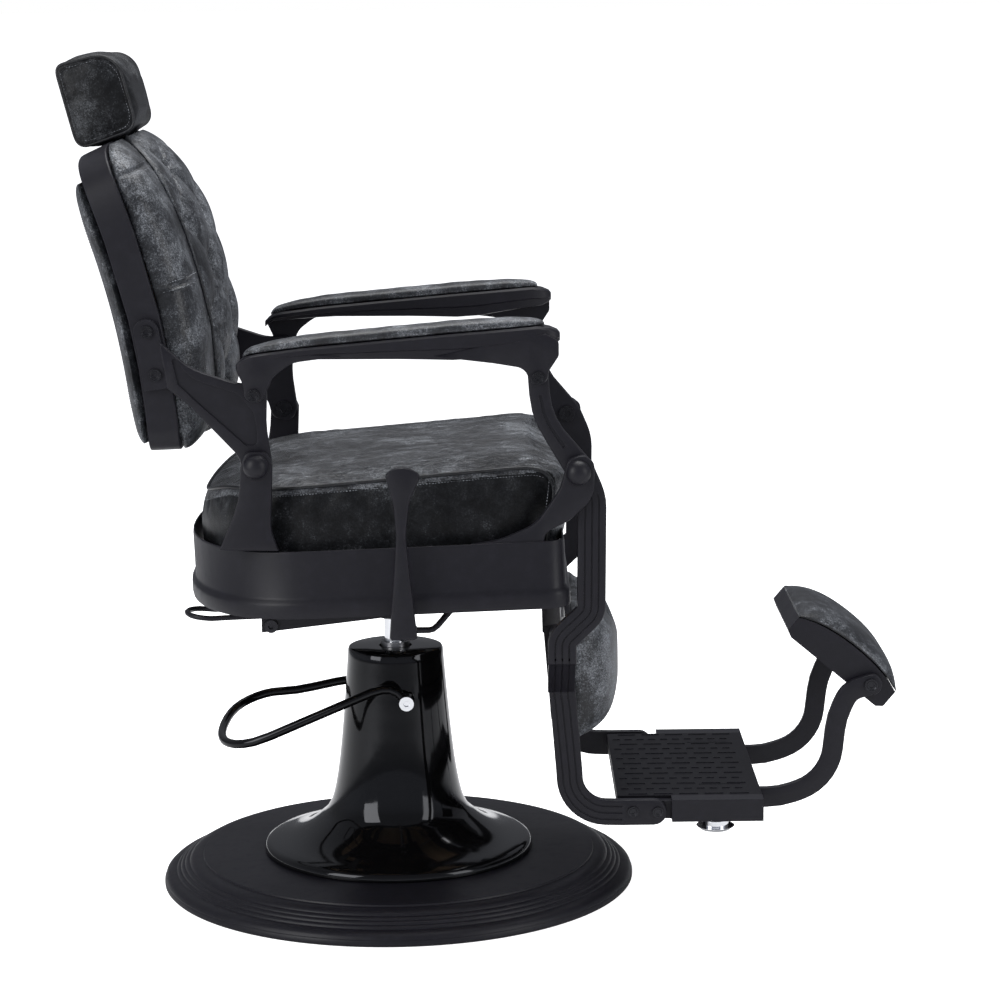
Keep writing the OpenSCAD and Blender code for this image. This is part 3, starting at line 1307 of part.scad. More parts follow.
base_plate();
floor_ring();
pump_cover();
pump_cylinder();
cylinder_gland();
pump_bolts();
pump_block();
pump_lever();
pump_yoke();
lever_collars();
pump_plunger();
piston_rod();
piston_head();
piston_seal();
swivel_hub();
mount_channel();
mount_bolts();
seat_frame();
seat_pan();
seat_board();
seat_cushion();
rear_post_left();
rear_post_right();
front_post_left();
front_post_right();
pivot_bolts();
pivot_caps();
pivot_washers();
lock_clamp();
back_band();
back_board();
back_cushion();
back_pad();
back_bracket_left();
back_bracket_right();
bracket_screws();
headrest_socket();
headrest_cushion();
headrest_post();
arm_frame_left();
arm_frame_right();
arm_pad_left();
arm_pad_right();
leg_casting_left();
leg_casting_right();
leg_screws();
calf_panel();
calf_pad();
tread_plate();
foot_brackets();
foot_arms();
foot_glides();
lock_quadrant();
flip_shell();
flip_pad();
flip_screws();
recline_lever();
lever_shaft();
release_rod();
rear_loop();
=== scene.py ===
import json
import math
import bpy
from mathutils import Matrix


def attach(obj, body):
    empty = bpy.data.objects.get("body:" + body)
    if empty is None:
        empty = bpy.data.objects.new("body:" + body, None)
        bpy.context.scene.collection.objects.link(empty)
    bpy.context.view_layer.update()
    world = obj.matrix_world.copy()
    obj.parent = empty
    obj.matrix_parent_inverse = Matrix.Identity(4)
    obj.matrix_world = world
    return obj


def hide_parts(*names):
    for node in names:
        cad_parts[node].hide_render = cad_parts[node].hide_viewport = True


bl_info = {
    "name": "Barber Chair Upholstery and Finishes",
    "version": (1, 0, 0),
    "blender": (4, 5, 0),
    "location": "View3D > Sidebar > Barber Chair",
    "description": "Leatherwork, paint and metal finishes and a studio for a hydraulic barber chair",
    "category": "Object",
}

import bpy
from bpy.props import FloatProperty, FloatVectorProperty, PointerProperty
from mathutils import Matrix, Vector
from mathutils.bvhtree import BVHTree
from mathutils.kdtree import KDTree

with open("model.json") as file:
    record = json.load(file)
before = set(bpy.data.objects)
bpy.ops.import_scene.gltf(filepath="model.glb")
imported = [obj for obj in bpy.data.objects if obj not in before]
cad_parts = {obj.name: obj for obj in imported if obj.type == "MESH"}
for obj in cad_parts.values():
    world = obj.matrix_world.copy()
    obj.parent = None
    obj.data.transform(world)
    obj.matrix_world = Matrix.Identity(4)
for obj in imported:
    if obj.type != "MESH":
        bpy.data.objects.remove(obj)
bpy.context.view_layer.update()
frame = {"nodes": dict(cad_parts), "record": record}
MM = 0.001
SLOT_OF = {part["node"]: part["material_slot"] for part in frame["record"]["subparts"]}


# ---------------------------------------------------------------- settings


class LeatherSettings(bpy.types.PropertyGroup):
    """Colour and wear of the hide"""

    dark: FloatVectorProperty(
        name="Dark hide",
        description="Colour in the dark patches",
        subtype="COLOR",
        default=(0.0062, 0.0066, 0.0077),
    )
    middle: FloatVectorProperty(
        name="Hide",
        description="Main colour of the hide",
        subtype="COLOR",
        default=(0.023, 0.0247, 0.0285),
    )
    # Also the colour of the painted highlight along the crease ridges.
    scuffed_and_sheen: FloatVectorProperty(
        name="Scuffed hide and ridge sheen",
        description="Colour where the hide is rubbed",
        subtype="COLOR",
        default=(0.17, 0.18, 0.194),
    )
    wear: FloatProperty(
        name="Wear",
        description="How much of the hide is rubbed",
        default=0.5,
        min=0,
        max=1,
        subtype="FACTOR",
    )


class SewingSettings(bpy.types.PropertyGroup):
    """Piping, stitching and tufting sizes, in millimetres"""

    piping: FloatProperty(
        name="Piping radius (mm)",
        description="Radius of the covered cord in a seam",
        default=2.6,
        min=1,
        max=6,
    )
    stitch: FloatProperty(
        name="Stitch (mm)", description="Length of one stitch", default=4.2, min=2, max=10
    )
    tuft: FloatProperty(
        name="Tuft depth (mm)",
        description="How deep the buttons pull the back in",
        default=12,
        min=4,
        max=16,
    )
    button: FloatProperty(
        name="Button (mm)", description="Radius of the covered buttons", default=7.5, min=4, max=14
    )


class MetalSettings(bpy.types.PropertyGroup):
    """Colours of the painted and bare metal"""

    powder: FloatVectorProperty(
        name="Powder coat",
        description="Satin black of the castings",
        subtype="COLOR",
        default=(0.0088, 0.0084, 0.0118),
    )
    enamel: FloatVectorProperty(
        name="Enamel",
        description="Gloss black of the pump cover",
        subtype="COLOR",
        default=(0.0022, 0.0022, 0.0024),
    )
    edge: FloatProperty(
        name="Edge rounding",
        description="Softness of the castings' edges",
        default=0.0012,
        min=0,
        max=0.01,
        subtype="DISTANCE",
    )


class StudioSettings(bpy.types.PropertyGroup):
    """Floor and lamps"""

    floor: FloatVectorProperty(
        name="Floor", description="Colour of the studio floor", subtype="COLOR", default=(0.9, 0.9, 0.9)
    )
    lamps: FloatProperty(name="Lamp level", description="Scales every lamp", default=1.0, min=0, max=4)


# ---------------------------------------------------------------- frame sizes, in millimetres

PAN_Z, SEAT_PITCH = 456.0, math.radians(1.9)
CUSHION_W, CUSHION_FRONT, CUSHION_REAR = 262.0, 232.0, -267.0
CUSHION_BASE, CUSHION_SIDE, SEAT_CROWN, CUSHION_NOSE = 46.0, 133.0, 4.0, 26.0
REAR_START, REAR_POWER, REAR_DROP, REAR_ROUND, WEDGE = -95.0, 2.3, 28.0, 61.0, 0.00037
EDGE_R, FRONT_R, FRONT_DROP, FRONT_ROUND = 16.0, 52.0, 9.0, 46.0

BACK_FOOT, BACK_LEN = (-299.0, 677.0), 418.0
LEAN_LOW, LEAN_HIGH = 2.0, 25.0
BOW_R = BACK_LEN / math.radians(LEAN_HIGH - LEAN_LOW)
BACK_W, ARCH_START, ARCH_POWER = 270.0, 186.0, 6.0
BAND_T, BAND_D, FOOT_R = 12.0, 42.0, 32.0
BACK_CROWN, CUSHION_LOW, CUSHION_MID, CUSHION_END = 93.0, -12.0, 210.0, 416.0
LIP = BAND_D / 2 + 0.6
TUFT_S, TUFT_Y, TUFT_FROM = 69.0, 66.0, 81.0

PAD_LOW, PAD_HIGH, PAD_BULGE = BAND_T + 2, BACK_LEN - 34, 53.0
SEAM_CENTRE, SEAM_W, SEAM_UP, SEAM_DOWN = 235.0, 160.0, 187.0, 250.0
SEAM_POWER_UP, SEAM_POWER_DOWN = 3, 2.3
FLANK_SEAMS = (216.0, 371.0)

HEAD_FORM = [[-425.5, 1076, 14], [-341, 1105.5, 18], [-369, 1214, 34], [-455.5, 1194, 10]]
HEAD_MIDDLE, HEAD_HALF = (-398, 1147), 100.0

ARM_TOP = [
    (-200, 796, 0),
    (-186, 810, 26),
    (-110, 820, 200),
    (90, 837, 600),
    (214, 846, 12),
    (238, 838, 10),
    (238, 826, 0),
]
ARM_LOW, ARM_HIGH, ARM_RISE, ARM_MID = -190.0, 216.0, 15.0, 267.3

CALF_HALF, CALF_LOW, CALF_HIGH, CALF_BACK, CALF_REAR_LOW = 170.0, 241.0, 424.0, 252.0, 250.0

FLIP_PIVOT, FLIP_TILT, FLIP_W = (680.5, 309.0), math.radians(140), 220.0
FLIP_CURVE = ((140.6, 8), (100, 30), (10, 32), (-37, 13))

FINE_THREAD, BOLD_THREAD = 0.3, 0.5


# ---------------------------------------------------------------- finish and stage values

WELD_GAP, CRISP_ANGLE = 0.00001, math.radians(34)
STUFFING_FRAMES = 20
STUFFING = {
    "quality": 4,
    "mass": 0.25,
    "tension_stiffness": 12,
    "compression_stiffness": 12,
    "bending_stiffness": 1.5,
    "use_pressure": True,
    "vertex_group_mass": "held",
    "shrink_min": -0.012,
}
# The tread plate's paint is the powder coat darkened to this share: painted shade.
TREAD_PAINTED_SHADE = 0.6
CHROME, STEEL, OXIDE = (0.78, 0.79, 0.81), (0.36, 0.36, 0.37), (0.032, 0.032, 0.036)
ENAMEL_TINT = (0.5, 0.51, 0.54, 1)
WOOD_LIGHT, WOOD_DARK, WOOD_GRAIN = (0.48, 0.33, 0.19, 1), (0.27, 0.16, 0.08, 1), (0.36, 0.23, 0.12, 1)
RUBBER, RUBBER_DUST = (0.012, 0.012, 0.0125, 1), (0.03, 0.03, 0.03, 1)

FLOOR_HALF, FLOOR_SHADE, WHITE = 250.0, (0.88, 0.88, 0.885, 1), (1.0, 1.0, 1.0, 1)
WORLD_FRONT = (0.46, 0.48, 0.54, 1)
WORLD_BEHIND = (0.16, 0.165, 0.18, 1)
WORLD_ABOVE = (0.28, 0.29, 0.32, 1)
SOFT_BOXES = (
    # name, place, target, width, height, watts, seen in reflections
    ("soft_box_left", (-2.6, -2.4, 1.9), (0.0, 0.0, 0.7), 1.7, 2.4, 76.0, True),
    ("soft_box_right", (3.0, -2.0, 1.6), (0.1, 0.0, 0.6), 1.2, 2.2, 36.0, True),
    ("soft_box_top", (0.2, 0.6, 3.4), (0.0, 0.0, 0.6), 2.6, 2.2, 96.0, True),
    ("soft_box_rear", (-1.5, 3.0, 2.2), (0.0, 0.0, 0.8), 1.8, 1.8, 40.0, False),
)
CAMERA_PLACE = (0.139649, -4.195118, 1.283906)
CAMERA_YAW, CAMERA_PITCH, CAMERA_ROLL = 0.00369, 0.17064, -0.0105
CAMERA_LENS, SENSOR_WIDTH, FAR_CLIP = 105.65, 36.0, 1000.0


# ---------------------------------------------------------------- mesh work


def mesh_piece(name, verts, faces):
    mesh = bpy.data.meshes.new(name)
    mesh.from_pydata([(v[0] * MM, v[1] * MM, v[2] * MM) for v in verts], [], faces)
    mesh.validate()
    mesh.shade_smooth()
    piece = bpy.data.objects.new(name, mesh)
    bpy.context.scene.collection.objects.link(piece)
    return piece


def loft(rings):
    """Closed rings joined in order, the first and last closed by a fan."""
    n = len(rings[0])
    verts = [p for ring in rings for p in ring]
    faces = []
    for i in range(len(rings) - 1):
        for k in range(n):
            a, b = i * n + k, i * n + (k + 1) % n
            faces.append((a, b, b + n, a + n))
    for ring, start, flip in ((rings[0], 0, True), (rings[-1], (len(rings) - 1) * n, False)):
        middle = [sum(p[j] for p in ring) / n for j in range(3)]
        verts.append(middle)
        c = len(verts) - 1
        for k in range(n):
            a, b = start + k, start + (k + 1) % n
            faces.append((b, a, c) if flip else (a, b, c))
    return verts, faces


def tube(path, radius, closed=False, sides=10, ends=0.35):
    """A round cord along a path; open ends are rounded off."""
    pts = [Vector(p) for p in path]
    n = len(pts)
    tangents = []
    for i in range(n):
        a = pts[(i - 1) % n] if closed or i > 0 else pts[i]
        b = pts[(i + 1) % n] if closed or i < n - 1 else pts[i]
        tangents.append((b - a).normalized())
    up = tangents[0].orthogonal().normalized()
    ups = []
    for t in tangents:
        up = (up - t * up.dot(t)).normalized()
        ups.append(up.copy())
    twist = 0.0
    if closed:
        last = (ups[-1] - tangents[0] * ups[-1].dot(tangents[0])).normalized()
        twist = math.atan2(tangents[0].dot(last.cross(ups[0])), last.dot(ups[0]))
    verts, faces = [], []
    for i, (p, t, u) in enumerate(zip(pts, tangents, ups)):
        side = t.cross(u)
        r = radius
        if not closed and (i == 0 or i == n - 1):
            r = radius * ends
        turn = twist * i / n
        for k in range(sides):
            a = 2 * math.pi * k / sides + turn
            verts.append(p + u * (r * math.cos(a)) + side * (r * math.sin(a)))
    for i in range(n if closed else n - 1):
        j = (i + 1) % n
        for k in range(sides):
            m = (k + 1) % sides
            faces.append((i * sides + k, i * sides + m, j * sides + m, j * sides + k))
    if not closed:
        faces.append(tuple(range(sides))[::-1])
        faces.append(tuple((n - 1) * sides + k for k in range(sides)))
    return verts, faces


def gathered(parts):
    """Several (verts, faces) as one."""
    verts, faces = [], []
    for v, f in parts:
        base = len(verts)
        verts.extend(v)
        faces.extend(tuple(i + base for i in face) for face in f)
    return verts, faces


def spaced(path, step, closed=False):
    """The path with even spacing."""
    pts = [Vector(p) for p in path]
    if closed:
        pts.append(pts[0])
    marks = [0.0]
    for a, b in zip(pts, pts[1:]):
        marks.append(marks[-1] + (b - a).length)
    count = max(2, int(round(marks[-1] / step)))
    out, i = [], 0
    for k in range(count if closed else count + 1):
        s = marks[-1] * k / count
        while i < len(pts) - 2 and marks[i + 1] < s:
            i += 1
        f = (s - marks[i]) / max(1e-9, marks[i + 1] - marks[i])
        out.append(pts[i].lerp(pts[i + 1], f))
    return out


def stitches(path, pitch, closed=False, radius=0.42, fill=0.68):
    """Short threads laid end to end with gaps between them."""
    parts = []
    marks = spaced(path, pitch, closed)
    pairs = zip(marks, marks[1:] + marks[:1]) if closed else zip(marks, marks[1:])
    for a, b in pairs:
        c, d = a.lerp(b, (1 - fill) / 2), a.lerp(b, (1 + fill) / 2)
        parts.append(tube([c, c.lerp(d, 0.2), c.lerp(d, 0.8), d], radius, sides=5))
    return gathered(parts)


class Skin:
    """Finds points on a piece's surface, in millimetres."""

    def __init__(self, piece):
        mesh = piece.data
        self.tree = BVHTree.FromPolygons(
            [v.co / MM for v in mesh.vertices], [tuple(p.vertices) for p in mesh.polygons]
        )

    def on(self, path, lift=0.0):
        out = []
        for p in path:
            spot, normal, _, _ = self.tree.find_nearest(Vector(p))
            out.append(spot + normal * lift)
        return out


def eased(path, rounds=2, closed=False):
    pts = [Vector(p) for p in path]
    n = len(pts)
    for _ in range(rounds):
        old = [p.copy() for p in pts]
        for i in range(n):
            if closed or 0 < i < n - 1:
                pts[i] = old[i] * 0.5 + (old[(i - 1) % n] + old[(i + 1) % n]) * 0.25
    return pts


def active(piece):
    bpy.ops.object.select_all(action="DESELECT")
    piece.select_set(True)
    bpy.context.view_layer.objects.active = piece


def applied(piece, kind, **values):
    mod = piece.modifiers.new(kind.title(), kind)
    for key, value in values.items():
        setattr(mod, key, value)
    active(piece)
    bpy.ops.object.modifier_apply(modifier=mod.name)


def rounded(piece):
    """Subdivides a leather form once and smooths its shading."""
    applied(piece, "SUBSURF", levels=1, render_levels=1)
    piece.data.shade_smooth()
    return piece


def stuffed(piece, voxel, cap, pressure, held, start):
    """Remeshes a closed form, blows it up between its held seams, caps the movement and subdivides it."""
    active(piece)
    piece.data.remesh_voxel_size = voxel * MM
    bpy.ops.object.voxel_remesh()
    mesh = piece.data
    mesh.shade_smooth()
    applied(piece, "SMOOTH", factor=0.5, iterations=2)
    before = [v.co.copy() for v in mesh.vertices]
    normals = [v.normal.copy() for v in mesh.vertices]
    pins = piece.vertex_groups.new(name="held")
    weights = [held(co / MM, no) for co, no in zip(before, normals)]
    for i, w in enumerate(weights):
        pins.add([i], w, "REPLACE")
    for v, no, w in zip(mesh.vertices, normals, weights):
        v.co -= no * (start * MM * (1 - w))
    scene = bpy.context.scene
    scene.frame_set(1)
    cloth = piece.modifiers.new("Stuffing", "CLOTH")
    for key, value in STUFFING.items():
        setattr(cloth.settings, key, value)
    cloth.settings.uniform_pressure_force = pressure
    cloth.settings.effector_weights.gravity = 0
    cloth.collision_settings.use_collision = False
    for number in range(1, STUFFING_FRAMES + 1):
        scene.frame_set(number)
    active(piece)
    bpy.ops.object.modifier_apply(modifier=cloth.name)
    scene.frame_set(1)
    for v, co, w in zip(piece.data.vertices, before, weights):
        move = v.co - co
        if move.length > cap * MM:
            move *= cap * MM / move.length
        v.co = co + move * (1 - w)
    applied(piece, "SMOOTH", factor=0.5, iterations=1)
    return rounded(piece)


def near_any(path, reach, inner):
    """A weight that is 1 on the path and fades to 0 at reach."""
    tree = KDTree(len(path))
    for i, p in enumerate(path):
        tree.insert(Vector(p), i)
    tree.balance()

    def weight(point):
        _, _, gap = tree.find(point)
        return min(1.0, max(0.0, (reach - gap) / max(1e-6, reach - inner)))

    return weight


def dressed(piece, material, body, *nodes, slot="leather"):
    piece.data.materials.clear()
    piece.data.materials.append(material)
    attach(piece, body)
    if nodes:
        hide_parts(*nodes)
    return piece


# ---------------------------------------------------------------- shared forms


def corner(a, b, d, step=6.0):
    """The arc [x, y, radius] between its neighbours."""
    p, r = Vector(b[:2]), b[2]
    if r == 0:
        return [p]
    u, v = (Vector(a[:2]) - p).normalized(), (Vector(d[:2]) - p).normalized()
    half = math.acos(max(-1, min(1, u.dot(v)))) / 2
    ctr = p + (u + v).normalized() * r / math.sin(half)
    s = p + u * r / math.tan(half) - ctr
    turn = math.pi - 2 * half
    n = max(2, round(math.degrees(turn) / step))
    way = -1 if u.x * v.y - u.y * v.x > 0 else 1
    out = []
    for k in range(n + 1):
        a = way * turn * k / n
        out.append(
            ctr + Vector((s.x * math.cos(a) - s.y * math.sin(a), s.x * math.sin(a) + s.y * math.cos(a)))
        )
    return out


def outline(c):
    n = len(c)
    return [p for i in range(n) for p in corner(c[(i - 1) % n], c[i], c[(i + 1) % n])]


def evened(points, step):
    """A closed plane outline with even spacing."""
    return [(p.x, p.y) for p in spaced([(q[0], q[1], 0) for q in points], step, closed=True)]


def swell(t, n):
    return max(0.0, 1 - abs(t) ** n) ** (1 / n)


def signed_power(value, power):
    return math.copysign(abs(value) ** power, value)


def around(count):
    """Cosine and sine at even steps of one turn."""
    return [(math.cos(2 * math.pi * k / count), math.sin(2 * math.pi * k / count)) for k in range(count)]


def close_at_ends(k, count):
    """The share of the way at step k, with short steps at both ends."""
    return 0.5 - 0.5 * math.cos(math.pi * k / count)


def sloped(p):
    x, y, z = p
    c, s = math.cos(SEAT_PITCH), math.sin(SEAT_PITCH)
    return (x * c - z * s, y, PAN_Z + x * s + z * c)


def seat_plan(n=60):
    w, r = CUSHION_W, FRONT_R
    pts = [
        (CUSHION_FRONT - r + r * math.cos(a), r - w + r * math.sin(a))
        for a in (math.radians(-90 + 9 * k) for k in range(11))
    ]
    pts += [
        (CUSHION_FRONT - r + r * math.cos(a), w - r + r * math.sin(a))
        for a in (math.radians(9 * k) for k in range(11))
    ]
    for k in range(n + 1):
        t = math.pi / 2 + math.pi * k / n
        c, s = math.cos(t), math.sin(t)
        x = REAR_START + (CUSHION_REAR - REAR_START) * abs(c) ** (2 / REAR_POWER)
        pts.append((x, w * signed_power(s, 2 / REAR_POWER)))
    return pts


def seat_point(p, inset, height, share):
    """A point of the seat cushion over the plan point p."""
    k = 1 - inset / CUSHION_W
    if inset > EDGE_R:
        x = REAR_START + (p[0] - REAR_START) * k
    else:
        x = p[0] - inset * (1 if p[0] > REAR_START else -1) * min(1, abs(p[0] - REAR_START) / 60)
    low = max(0.0, CUSHION_REAR + REAR_ROUND - x) / REAR_ROUND
    dip = max(0.0, x - CUSHION_FRONT + FRONT_ROUND) / FRONT_ROUND
    z = CUSHION_BASE + height * (1 + WEDGE * x) - share * (REAR_DROP * low * low + FRONT_DROP * dip * dip)
    fore = CUSHION_NOSE * max(
        0.0, min(1.0, height / CUSHION_SIDE)
    ) ** 1.6 * max(0.0, x - 120) / (CUSHION_FRONT - 120)
    return sloped((x + fore, p[1] * k, z))


def seat_side(height):
    """Inset and share of the rear drop at a height up the side."""
    rise = CUSHION_SIDE - height
    if rise < EDGE_R:
        a = math.asin(max(0, min(1, 1 - rise / EDGE_R)))
        return EDGE_R * (1 - math.cos(a)) - 1, 1.0
    t = height / CUSHION_SIDE
    inset = -2.5 * math.sin(min(1, t / 0.9) * math.pi) - (1.0 if t > 0.6 else 0)
    if height < 14:
        inset = 5 * (1 - height / 14) ** 2
    share = 0 if t < 0.1 else min(1.0, ((t - 0.1) / 0.75) ** 1.6)
    return inset, share


# ---------------------------------------------------------------- back geometry


def lean(s):
    return math.radians(LEAN_LOW + (LEAN_HIGH - LEAN_LOW) * min(s, BACK_LEN) / BACK_LEN)


def back_point(s, d, y):
    a, low = lean(s), math.radians(LEAN_LOW)
    over = max(0.0, s - BACK_LEN)
    x = BACK_FOOT[0] + BOW_R * (math.cos(a) - math.cos(low)) + d * math.cos(a) - over * math.sin(a)
    z = BACK_FOOT[1] + BOW_R * (math.sin(a) - math.sin(low)) + d * math.sin(a) + over * math.cos(a)
    return (x, y, z)


def band_half(s):
    if s < ARCH_START:
        return BACK_W
    t = (s - ARCH_START) / (BACK_LEN - ARCH_START)
    return BACK_W * max(0.0001, 1 - t**ARCH_POWER) ** (1 / ARCH_POWER)


def inside_half(s):
    low, r = max(0.0, FOOT_R - s), FOOT_R - BAND_T
    side = BACK_W - FOOT_R - 1 + math.sqrt(max(0.0, r * r - low * low)) if low > 0 else BACK_W
    return min(band_half(min(s + 8, BACK_LEN)) - BAND_T - 1, side)


def back_depth(s):
    if s < CUSHION_MID:
        return (BACK_CROWN - 15 * max(0, 1 - s / 150)) * swell((CUSHION_MID - s) / 222, 5)
    return BACK_CROWN * swell((s - CUSHION_MID) / 222, 2.8)


def seam_half(s):
    if s > SEAM_CENTRE:
        return SEAM_W * swell((s - SEAM_CENTRE) / SEAM_UP, SEAM_POWER_UP)
    return SEAM_W * swell((s - SEAM_CENTRE) / SEAM_DOWN, SEAM_POWER_DOWN)


def rolled(s, d):
    """Rounds the foot of the cushion at depth d."""
    low = -7 + (min(25.0, 15.7 * ((d - 36) / 29) ** 2) if d > 36 else 11.5 * ((36 - d) / 23) ** 2)
    return s + (low - CUSHION_LOW) * (max(0.0, 60 - s) / (60 - CUSHION_LOW)) ** 2


def smooth_step(x, a, b):
    t = max(0.0, min(1.0, (x - a) / (b - a)))
    return t * t * (3 - 2 * t)


def button_spots():
    spots = []
    for k in range(5):
        columns = (-TUFT_Y, TUFT_Y) if k % 2 == 0 else (-2 * TUFT_Y, 0, 2 * TUFT_Y)
        spots += [(TUFT_FROM + TUFT_S * k, y) for y in columns]
    return spots


BUTTONS = button_spots()


def tufted(s, y, depth):
    """How far the diamond tufting moves the leather out (+) or in (-)."""
    u, v = (s - TUFT_FROM) / TUFT_S / 2, (y / TUFT_Y - 1) / 2
    p, q = abs(math.sin(math.pi * (u + v))), abs(math.sin(math.pi * (u - v)))
    h = -depth + 3.2 * max(p, q) + (depth + 0.6) * (p * q) ** 0.42
    for bs, by in BUTTONS:
        ds, dy = s - bs, y - by
        r = math.hypot(ds, dy)
        if r < 45:
            h -= 9 * math.exp(-((r / 12) ** 2))
            h += 3.0 * math.exp(-r / 19) * min(1, r / 8) * math.cos(
                (7 + int(bs + by) % 3) * math.atan2(ds, dy) + bs + by
            )
    inside = smooth_step(s, 22, 60) * (1 - smooth_step(s, 375, 404))
    return h * inside


# ---------------------------------------------------------------- shader work


def put(tree, kind, inputs=None, **attributes):
    """Adds a node; its inputs are values or sockets, by name or number."""
    node = tree.nodes.new(kind)
    for key, value in attributes.items():
        setattr(node, key, value)
    for key, value in (inputs or {}).items():
        socket = node.inputs[key]
        if isinstance(value, bpy.types.NodeSocket):
            tree.links.new(value, socket)
        else:
            socket.default_value = value
    return node


def arrange(tree):
    """Lays the nodes out in columns from input to output."""
    depth = {}
    for _ in range(len(tree.nodes)):
        for link in tree.links:
            depth[link.to_node.name] = max(
                depth.get(link.to_node.name, 0), depth.get(link.from_node.name, 0) + 1
            )
    rows = {}
    for node in tree.nodes:
        column = depth.get(node.name, 0)
        node.location = (column * 220, -rows.get(column, 0) * 240)
        rows[column] = rows.get(column, 0) + 1


def group(name, inputs, outputs):
    tree = bpy.data.node_groups.new(name, "ShaderNodeTree")
    for label, kind, value in inputs:
        socket = tree.interface.new_socket(label, in_out="INPUT", socket_type=kind)
        socket.default_value = value
    for label, kind in outputs:
        tree.interface.new_socket(label, in_out="OUTPUT", socket_type=kind)
    return tree, tree.nodes.new("NodeGroupInput").outputs, tree.nodes.new("NodeGroupOutput").inputs


def maths(tree, operation, a, b=0.0, c=0.0):
    return put(tree, "ShaderNodeMath", {0: a, 1: b, 2: c}, operation=operation).outputs[0]


def mixed(tree, factor, a, b, blend="MIX"):
    node = put(tree, "ShaderNodeMix", {"Factor": factor, 6: a, 7: b}, data_type="RGBA", blend_type=blend)
    return node.outputs[2]


def ranged(tree, value, low, high, to_low=0.0, to_high=1.0):
    node = put(
        tree,
        "ShaderNodeMapRange",
        {0: value, 1: low, 2: high, 3: to_low, 4: to_high},
        interpolation_type="SMOOTHSTEP",
    )
    return node.outputs[0]


def noise_at(tree, vector, scale, detail=3.0, roughness=0.55, distortion=0.0):
    values = {
        "Vector": vector, "Scale": scale, "Detail": detail, "Roughness": roughness, "Distortion": distortion
    }
    return put(tree, "ShaderNodeTexNoise", values).outputs[0]


def linked(tree, value, socket):
    tree.links.new(value, socket)


def hide_group():
    """Mottled, rubbed hide with a fine grain."""
    colour, number = "NodeSocketColor", "NodeSocketFloat"
    tree, given, out = group(
        "Rubbed hide",
        [
            ("Vector", "NodeSocketVector", (0, 0, 0)),
            ("Dark", colour, (0, 0, 0, 1)),
            ("Middle", colour, (0, 0, 0, 1)),
            ("Scuffed", colour, (0, 0, 0, 1)),
            ("Wear", number, 0.5),
            ("Patch Size", number, 1.0),
        ],
        [("Color", colour), ("Roughness", number), ("Height", number), ("Scuff", number)],
    )
    at = put(
        tree, "ShaderNodeVectorMath", {0: given["Vector"], "Scale": given["Patch Size"]}, operation="SCALE"
    ).outputs[0]
    clouds = noise_at(tree, at, 11.0, 6.0, 0.66, 0.3)
    patches = noise_at(tree, at, 42.0, 7.0, 0.72, 0.2)
    speckle = noise_at(tree, given["Vector"], 620.0, 2.0, 0.7)
    flecks = noise_at(tree, given["Vector"], 330.0, 3.0, 0.8)
    veins = noise_at(tree, at, 15.0, 5.0, 0.7, 0.6)
    pores = put(
        tree,
        "ShaderNodeTexVoronoi",
        {"Vector": given["Vector"], "Scale": 520.0, "Randomness": 1.0},
        feature="F1",
    ).outputs["Distance"]
    rubbed = maths(
        tree, "ADD", maths(tree, "MULTIPLY", clouds, 0.55), maths(tree, "MULTIPLY", patches, 0.45)
    )
    base = mixed(tree, ranged(tree, rubbed, 0.36, 0.56), given["Dark"], given["Middle"])
    low = maths(tree, "SUBTRACT", 0.64, maths(tree, "MULTIPLY", given["Wear"], 0.16))
    broken = maths(tree, "ADD", maths(tree, "MULTIPLY", flecks, 0.5), maths(tree, "MULTIPLY", speckle, 0.5))
    amount = maths(tree, "ADD", rubbed, maths(tree, "MULTIPLY", maths(tree, "SUBTRACT", broken, 0.5), 0.55))
    scuff = ranged(tree, maths(tree, "SUBTRACT", amount, low), -0.05, 0.17)
    line = maths(tree, "ABSOLUTE", maths(tree, "SUBTRACT", veins, 0.5))
    vein = maths(tree, "MULTIPLY", ranged(tree, line, 0.0, 0.01, 1.0, 0.0), 0.14)
    light = maths(
        tree,
        "MAXIMUM",
        maths(tree, "MULTIPLY", scuff, 0.8),
        maths(tree, "MULTIPLY", vein, ranged(tree, rubbed, 0.4, 0.55)),
    )
    tint = mixed(tree, light, base, given["Scuffed"])
    shade = ranged(tree, broken, 0.34, 0.66, 0.45, 1.7)
    grey = put(tree, "ShaderNodeCombineColor", {0: shade, 1: shade, 2: shade}).outputs[0]
    linked(tree, mixed(tree, 1.0, tint, grey, "MULTIPLY"), out["Color"])
    linked(
        tree,
        ranged(tree, maths(tree, "ADD", light, maths(tree, "MULTIPLY", broken, 0.3)), 0.0, 1.0, 0.42, 0.64),
        out["Roughness"],
    )
    rough = maths(tree, "ADD", maths(tree, "MULTIPLY", pores, 0.5), maths(tree, "MULTIPLY", broken, 0.35))
    linked(tree, maths(tree, "SUBTRACT", rough, maths(tree, "MULTIPLY", vein, 0.7)), out["Height"])
    linked(tree, light, out["Scuff"])
    arrange(tree)
    return tree


